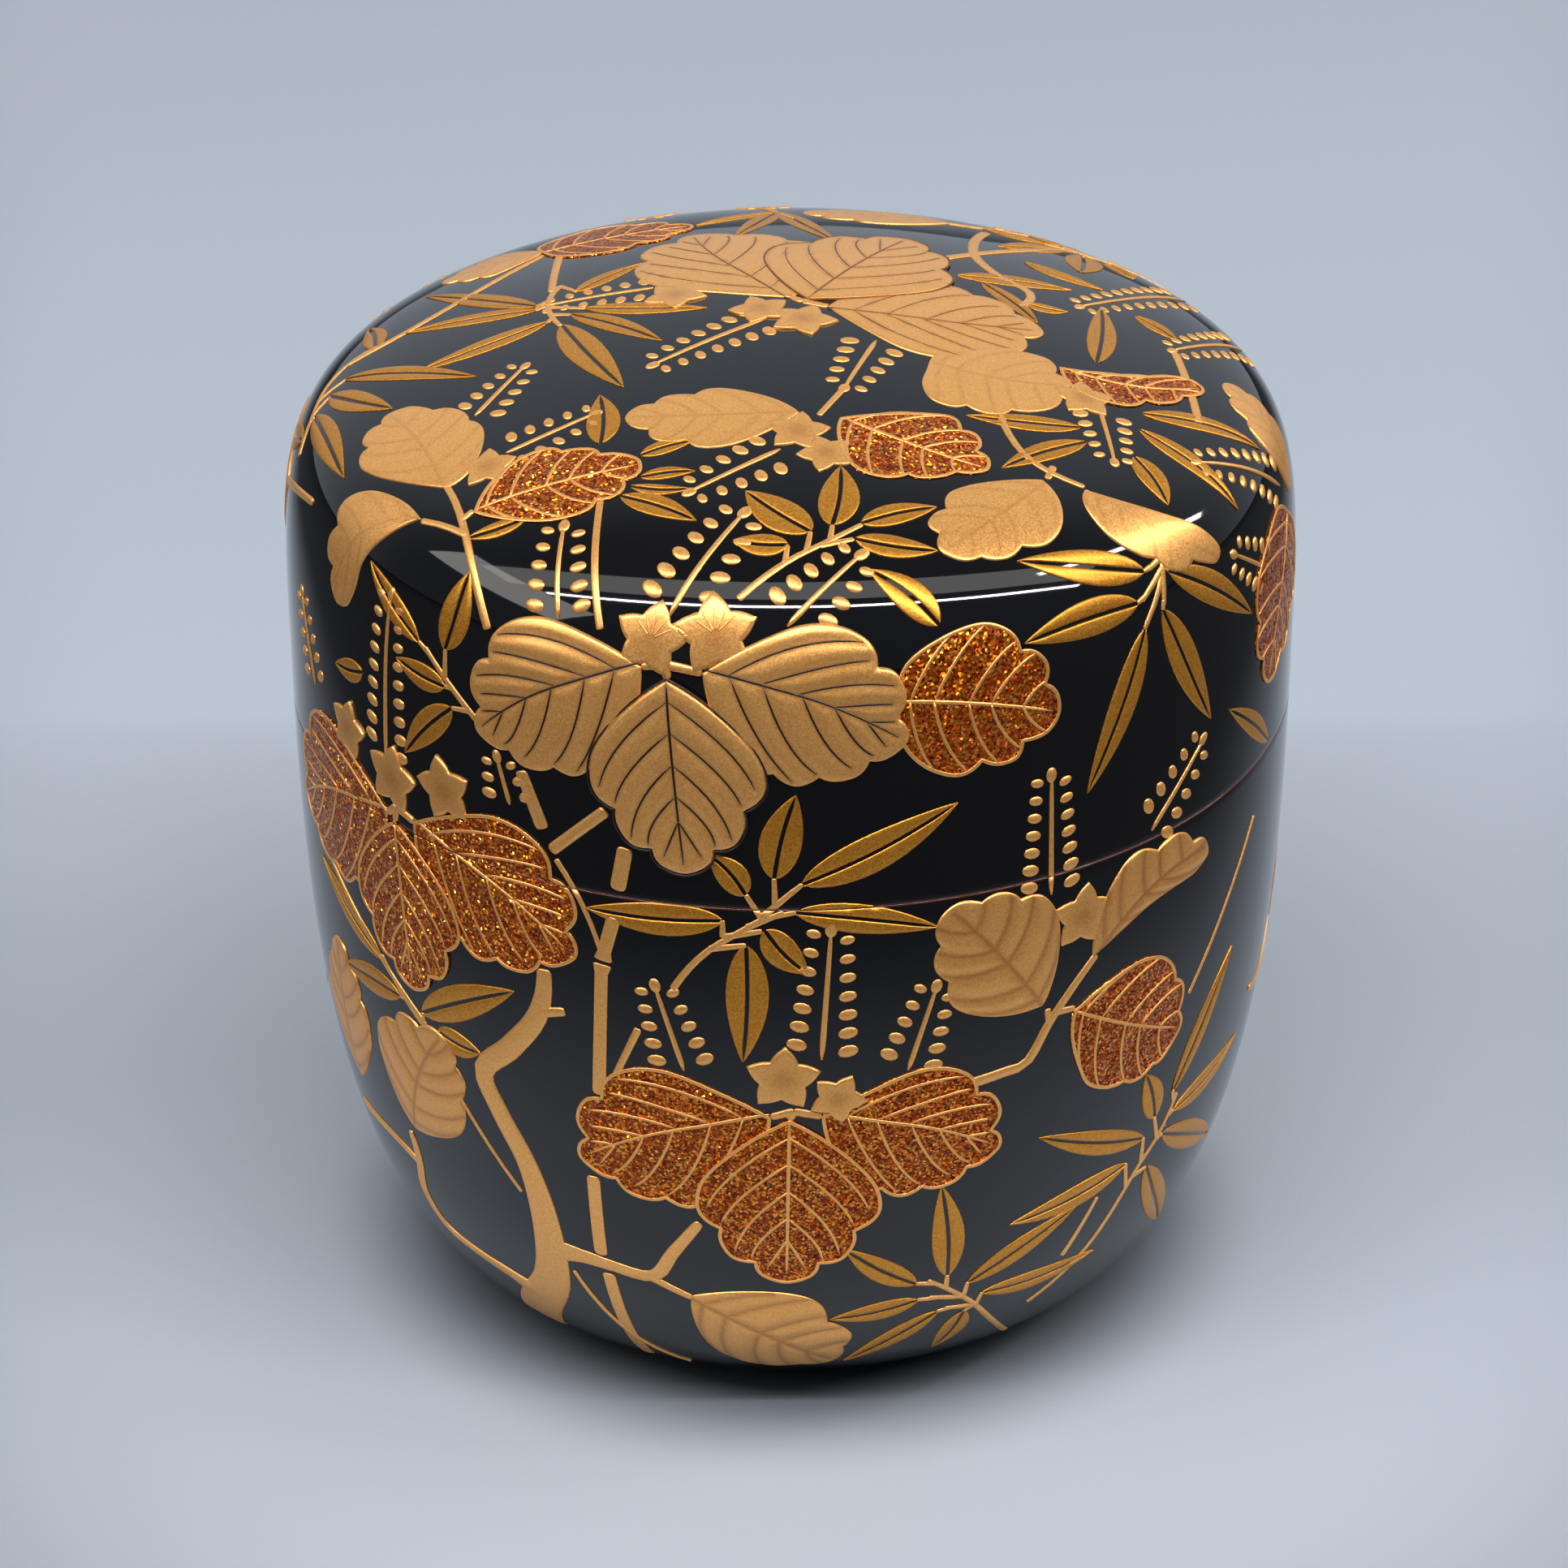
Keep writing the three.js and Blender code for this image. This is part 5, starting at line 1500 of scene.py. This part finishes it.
for cad_node, routes in (
    ("body_trunk", TRUNK), ("body_trunk_back", BACK_TRUNK), ("body_culm_back", BACK_CULM),
):
    finish_piece(lay_wood(routes, 0.13), f"{cad_node}_relief", "body", "plain", cad_node)
for body in SEAM_SIDES:
    finish_piece(lay_wood(CULM, 0.1), f"{body}_culm_relief", body, "plain", f"{body}_culm", cut=True)
print(f"{len(TRUNK)} routes in the trunk and {len(CULM)} in the culm")

# %% [markdown]
# ## Flower spikes, stems and stars
# The fine growth between the big motifs is too small to carry anything, so it has no solid in the
# CAD model. It is laid here straight on the lacquer, on the lid and on the body apart. The little that
# runs over the seam is laid for both and cut.

# %% Spikes, stems and stars
LID_SPIKES = [
    (-26, 0.966, -45.5, 0.877, 1), (42, 0.918, 15.5, 0.873, 1), (-109.5, 0.905, -99.5, 0.834, 0.9),
    (-60.5, 0.768, -70, 0.818, 0.9), (-47.5, 0.756, -42, 0.816, 0.9), (-2, 0.81, -15.5, 0.763, 1),
    (60, 0.771, 50.5, 0.734, 0.9), (102, 0.681, 90.5, 0.747, 0.9), (115.5, 0.695, 102, 0.803, 0.9),
    (74.5, 0.647, 62.5, 0.704, 0.9), (66, 0.61, 58, 0.64, 0.9), (-26, 0.656, -29.5, 0.716, 1),
    (-13.5, 0.667, -7.5, 0.748, 1.15), (-0.5, 0.665, 8, 0.712, 1.1), (-50, 0.52, -49, 0.635, 1),
    (-66.5, 0.53, -70.5, 0.586, 0.9), (-31.5, 0.524, -33, 0.555, 0.9), (42.4, 0.482, 50.8, 0.528, 1),
    (186, 0.67, 183, 0.73, 1.1), (196, 0.675, 202, 0.725, 1.1), (-112, 0.62, -117, 0.68, 1),
    (150, 0.66, 146, 0.72, 1), (120, 0.52, 118, 0.58, 1), (133, 0.64, 129, 0.7, 1),
    (228, 0.53, 230, 0.6, 1), (236, 0.62, 233, 0.69, 1), (163, 0.5, 161, 0.555, 0.9),
    (100, 0.5, 103, 0.57, 1), (252, 0.6, 250, 0.66, 1),
]
BODY_SPIKES = [
    (3, 0.366, 4, 0.461, 1.05), (-12, 0.354, -15, 0.415, 1), (12.5, 0.353, 15.5, 0.413, 1),
    (148, 0.372, 145, 0.44, 1.1), (160, 0.37, 163, 0.43, 1.1), (92, 0.39, 90, 0.45, 1),
    (-112, 0.37, -109, 0.43, 1), (208, 0.335, 206, 0.38, 1), (136, 0.345, 132, 0.41, 1),
    (177, 0.3, 178, 0.37, 1), (-92, 0.33, -90, 0.4, 1), (118, 0.2, 121, 0.26, 1),
]
LID_STEMS = [
    ([(-50, 0.714), (-42, 0.691), (-34.5, 0.638)], (0.5, 0.7)),
    ([(-28, 0.748), (-21, 0.654)], (0.5, 0.55)), ([(15.5, 0.873), (6.5, 0.845)], (0.5, 0.45)),
    ([(45, 0.813), (40.5, 0.786), (39.5, 0.76), (42.5, 0.727)], (0.6, 0.45)),
    ([(41.5, 0.751), (38.8, 0.7435)], (0.6, 0.5)),
    ([(-48.7, 0.6855), (-45, 0.689), (-41.5, 0.689)], (0.5, 0.55)),
    ([(-43, 0.706), (-43.6, 0.696)], (0.5, 0.55)), ([(-132, 0.789), (-108.5, 0.833)], (0.7, 0.6)),
    ([(-94, 0.7), (-99.5, 0.741), (-131.5, 0.774)], (0.6, 0.5)),
    ([(133, 0.856), (133.5, 0.728)], (0.8, 0.7)),
    ([(145, 0.761), (140, 0.803), (130.5, 0.834), (117.5, 0.843), (106, 0.834), (97, 0.847)],
     (0.9, 0.7)),
    ([(89, 0.745), (70, 0.718)], (0.7, 0.7)), ([(142, 0.62), (150, 0.63), (156, 0.66)], (0.7, 0.6)),
    ([(-84, 0.63), (-78, 0.64), (-70, 0.65)], (0.7, 0.6)),
    ([(153, 0.7535), (146, 0.735), (141, 0.69), (142, 0.62)], (0.7, 0.8)),
    ([(240, 0.475), (236, 0.55), (229, 0.585)], (1.1, 0.9)),
    ([(222, 0.5), (236, 0.54)], (0.8, 0.7)),
]
BODY_STEMS = [
    ([(16, 0.332), (24, 0.338), (26.3, 0.34), (29.5, 0.37), (35, 0.407)], (0.9, 0.85, 0.8, 0.6)),
    ([(29.2, 0.365), (28.8, 0.378)], (0.6, 0.5)), ([(29.6, 0.3735), (32.4, 0.372)], (0.6, 0.5)),
    ([(-41.5, 0.283), (-34, 0.223)], (0.35,)), ([(51, 0.339), (64, 0.437)], (0.35, 0.25)),
    ([(-17, 0.381), (-21, 0.328)], (0.6, 0.5)), ([(83, 0.3), (76, 0.28), (70, 0.285)], (0.7, 0.6)),
    ([(-104, 0.29), (-97, 0.275), (-90, 0.28)], (0.7, 0.6)),
    ([(196, 0.26), (190, 0.24), (186, 0.21)], (0.7, 0.6)),
    ([(-46, 0.33), (-58, 0.38), (-66, 0.41)], (0.5, 0.4)),
    ([(134, 0.28), (124, 0.31), (112, 0.3), (98, 0.26)], (0.8, 0.7)),
    ([(176, 0.285), (184, 0.27), (190, 0.235), (197, 0.186)], (0.8, 0.7)),
]
LID_STARS = [
    (-47.5, 0.74, 4.2, 100), (1.5, 0.829, 4.6, 10), (6.5, 0.805, 4.2, 200), (61.5, 0.786, 4.6, 200),
    (150, 0.642, 4.8, 5),
]
BODY_STARS = [(33, 0.4395, 5.2, 8), (91, 0.38, 5, 6), (-111, 0.355, 5, 0), (207, 0.32, 5, 15)]

# %% Lay the fine growth
def lay_growth(motif, spikes=(), stems=(), stars=()):
    for azimuth, share, knob_azimuth, knob_share, size in spikes:
        lay_spike(motif, (azimuth, share), (knob_azimuth, knob_share), size)
    for places, widths in stems:
        lay_stem(motif, spots(*places), widths)
    for azimuth, share, size, turn in stars:
        lay_star(motif, (azimuth, share), size, turn)
    return motif


SEAM_SPIKES = [(28.7, 0.4625, 28.4, 0.5475, 1)]
SEAM_STEMS = [
    ([(-26, 0.4935), (-23, 0.465), (-21, 0.433)], (0.45, 0.35)),
    ([(-26.5, 0.499), (-20, 0.535)], (0.9,)), ([(-30, 0.55), (-27.5, 0.513)], (1, 1.1)),
]
for body, spikes, stems, stars in (
    ("lid", LID_SPIKES, LID_STEMS, LID_STARS), ("body", BODY_SPIKES, BODY_STEMS, BODY_STARS),
):
    finish_piece(lay_growth(Motif(), spikes=spikes), f"{body}_flower_spikes", body, "plain")
    finish_piece(lay_growth(Motif(), stems=stems), f"{body}_stems", body, "plain")
    finish_piece(lay_growth(Motif(), stars=stars), f"{body}_flowers", body, "plain")
for body in SEAM_SIDES:
    growth = lay_growth(Motif(), SEAM_SPIKES, SEAM_STEMS)
    finish_piece(growth, f"{body}_seam_growth", body, "plain", cut=True)
faces = sum(len(piece.data.polygons) for piece in made_pieces)
print(f"{len(made_pieces)} motif pieces, {faces} faces")

# %% [markdown]
# ## Camera
# The photograph was taken from a little above with a long lens, so the caddy hardly tapers. The
# camera's height and lens were fitted to the caddy's outline.

# %% Camera
SENSOR = 36.0
LENS = 112.38
ELEVATION = math.radians(28.435)
ROLL = math.radians(-0.282)
DISTANCE = 365 * MM
AIM = Vector((-0.579, 0, 36.858)) * MM

forward = Vector((0, math.cos(ELEVATION), -math.sin(ELEVATION)))
upward = Vector((0, math.sin(ELEVATION), math.cos(ELEVATION)))
rightward = Vector((1, 0, 0))
right = math.cos(ROLL) * rightward + math.sin(ROLL) * upward
up = -math.sin(ROLL) * rightward + math.cos(ROLL) * upward
camera_data = bpy.data.cameras.new("camera")
camera_data.lens = LENS
camera_data.sensor_width = SENSOR
camera_data.clip_start = 0.01
camera = in_scene("camera", camera_data)
turned_to = Matrix((right, up, -forward)).transposed().to_4x4()
camera.matrix_world = Matrix.Translation(AIM - forward * DISTANCE) @ turned_to
bpy.context.scene.camera = camera
bpy.context.scene.view_settings.view_transform = "Standard"
print(f"camera {DISTANCE:.3f} m from the caddy's middle")

# %% [markdown]
# ## Floor
# The lacquer shows the room like a mirror, and what the body shows is mostly the floor. It is plain
# and pale where the picture shows it. It fades to dark outside the picture, which widens away from
# the camera, and close round the foot a painted shadow of the caddy darkens its colour. Both fades
# are measured on the floor itself, so they don't move with the camera.

# %% Floor
FADE_START = 0.05
FADE_END = 0.12
FRAME_SPREAD = 2.6
SHADE_START = 0.023
SHADE_END = 0.037
DEEPEST_SHADE = 0.14
FLOOR_SIZE = 3


def floor_material():
    """Pale inside the picture, dark beyond it, with a painted shadow round the foot."""
    material, tree, shader = plain_material("floor", {"Roughness": 0.9})
    spot = node(tree, "ShaderNodeTexCoord").outputs["Object"]
    across, away = node(tree, "ShaderNodeSeparateXYZ", {0: spot}).outputs[:2]
    behind = number(tree, "MAXIMUM", away, 0)
    widening = number(tree, "MULTIPLY_ADD", behind, FRAME_SPREAD, 1)
    in_picture = {
        "X": number(tree, "DIVIDE", across, widening), "Y": number(tree, "MINIMUM", away, 0)
    }
    outside = vector(
        tree, "LENGTH", node(tree, "ShaderNodeCombineXYZ", in_picture).outputs[0], output="Value"
    )
    fade = remap(tree, outside, FADE_END, FADE_START, kind="SMOOTHSTEP")
    colours = ramp(tree, fade, (0.0, (0.03, 0.032, 0.038)), (1.0, (0.33, 0.37, 0.425)))
    # A painted shadow: the floor's colour darkens close round the foot, where the caddy's overhang would
    # shade it.
    from_foot = vector(tree, "LENGTH", spot, output="Value")
    shade = remap(tree, from_foot, SHADE_START, SHADE_END, DEEPEST_SHADE, kind="SMOOTHSTEP")
    feed(tree, shader, {"Base Color": vector(tree, "SCALE", colours, Scale=shade)})
    return material


floor_grid = bmesh.new()
bmesh.ops.create_grid(floor_grid, x_segments=1, y_segments=1, size=FLOOR_SIZE)
floor = in_scene("floor", as_mesh(floor_grid, "floor"))
floor.data.materials.append(floor_material())
print(f"floor {2 * FLOOR_SIZE} m across")

# %% [markdown]
# ## Light
# Each light is placed where the lacquer has to mirror it. A long thin tube high in front draws the
# bright line along the shoulder, with a dim panel above it. A narrow window at the right lights the
# gold on the shoulder there, and a wide, dim one at the left draws the soft streak across from it.

# %% Lights
WARM = (1, 0.97, 0.92)


def soft_light(name, position, along, size, radiance, colour=(1, 1, 1)):
    """A rectangular light that faces the caddy, its long side along a direction, in metres."""
    data = bpy.data.lights.new(name, "AREA")
    data.shape = "RECTANGLE"
    data.size, data.size_y = size
    data.energy = radiance * math.pi * size[0] * size[1]
    data.color = colour
    back = (Vector(position) - AIM).normalized()
    across = back.cross(Vector(along)).normalized()
    facing = Matrix((across.cross(back), across, back)).transposed().to_4x4()
    light = in_scene(name, data)
    light.matrix_world = Matrix.Translation(position) @ facing
    return light


lights = [
    soft_light("tube", (0.1, -0.56, 0.94), (1, 0, 0), (2.6, 0.035), 75),
    soft_light("panel", (0, -0.27, 1.0), (1, 0, 0), (2.6, 0.3), 1.8, (1, 0.98, 0.95)),
    soft_light("right_window", (1, 0.1, 0.8), (0, 0.68, -0.73), (0.9, 0.07), 24, WARM),
    soft_light("left_window", (-1, -0.36, 0.66), (0, 1, 0.15), (0.9, 0.34), 3.2, WARM),
]
for light in lights:
    print(f"{light.name}: {light.data.energy:.2f} W")

# %% [markdown]
# ## The room
# The walls and ceiling only show as reflections. They are dark on the camera's side, pale behind the
# caddy and dim right overhead, where a strong reflection would grey the crown. The world shader
# reads the direction in the room, so the walls stay where they are from every side.

# %% Room
BEHIND = (0.0, 0.82)
OVERHEAD = (0.7, 0.93)
CEILING = (0.14, 0.14, 0.15)


def make_room():
    world = bpy.data.worlds.new("room")
    world.use_nodes = True
    tree = world.node_tree
    direction = node(tree, "ShaderNodeTexCoord").outputs["Generated"]
    _, away, up = node(tree, "ShaderNodeSeparateXYZ", {0: direction}).outputs
    behind = remap(tree, away, *BEHIND, kind="SMOOTHSTEP")
    walls = ramp(tree, behind, (0.0, (0.14, 0.15, 0.17)), (1.0, (0.5, 0.55, 0.62)))
    overhead = remap(tree, up, *OVERHEAD, kind="SMOOTHSTEP")
    feed(tree, tree.nodes["Background"], {"Color": blend(tree, overhead, walls, CEILING)})
    return world


bpy.context.scene.world = make_room()
print("room:", bpy.context.scene.world.name)
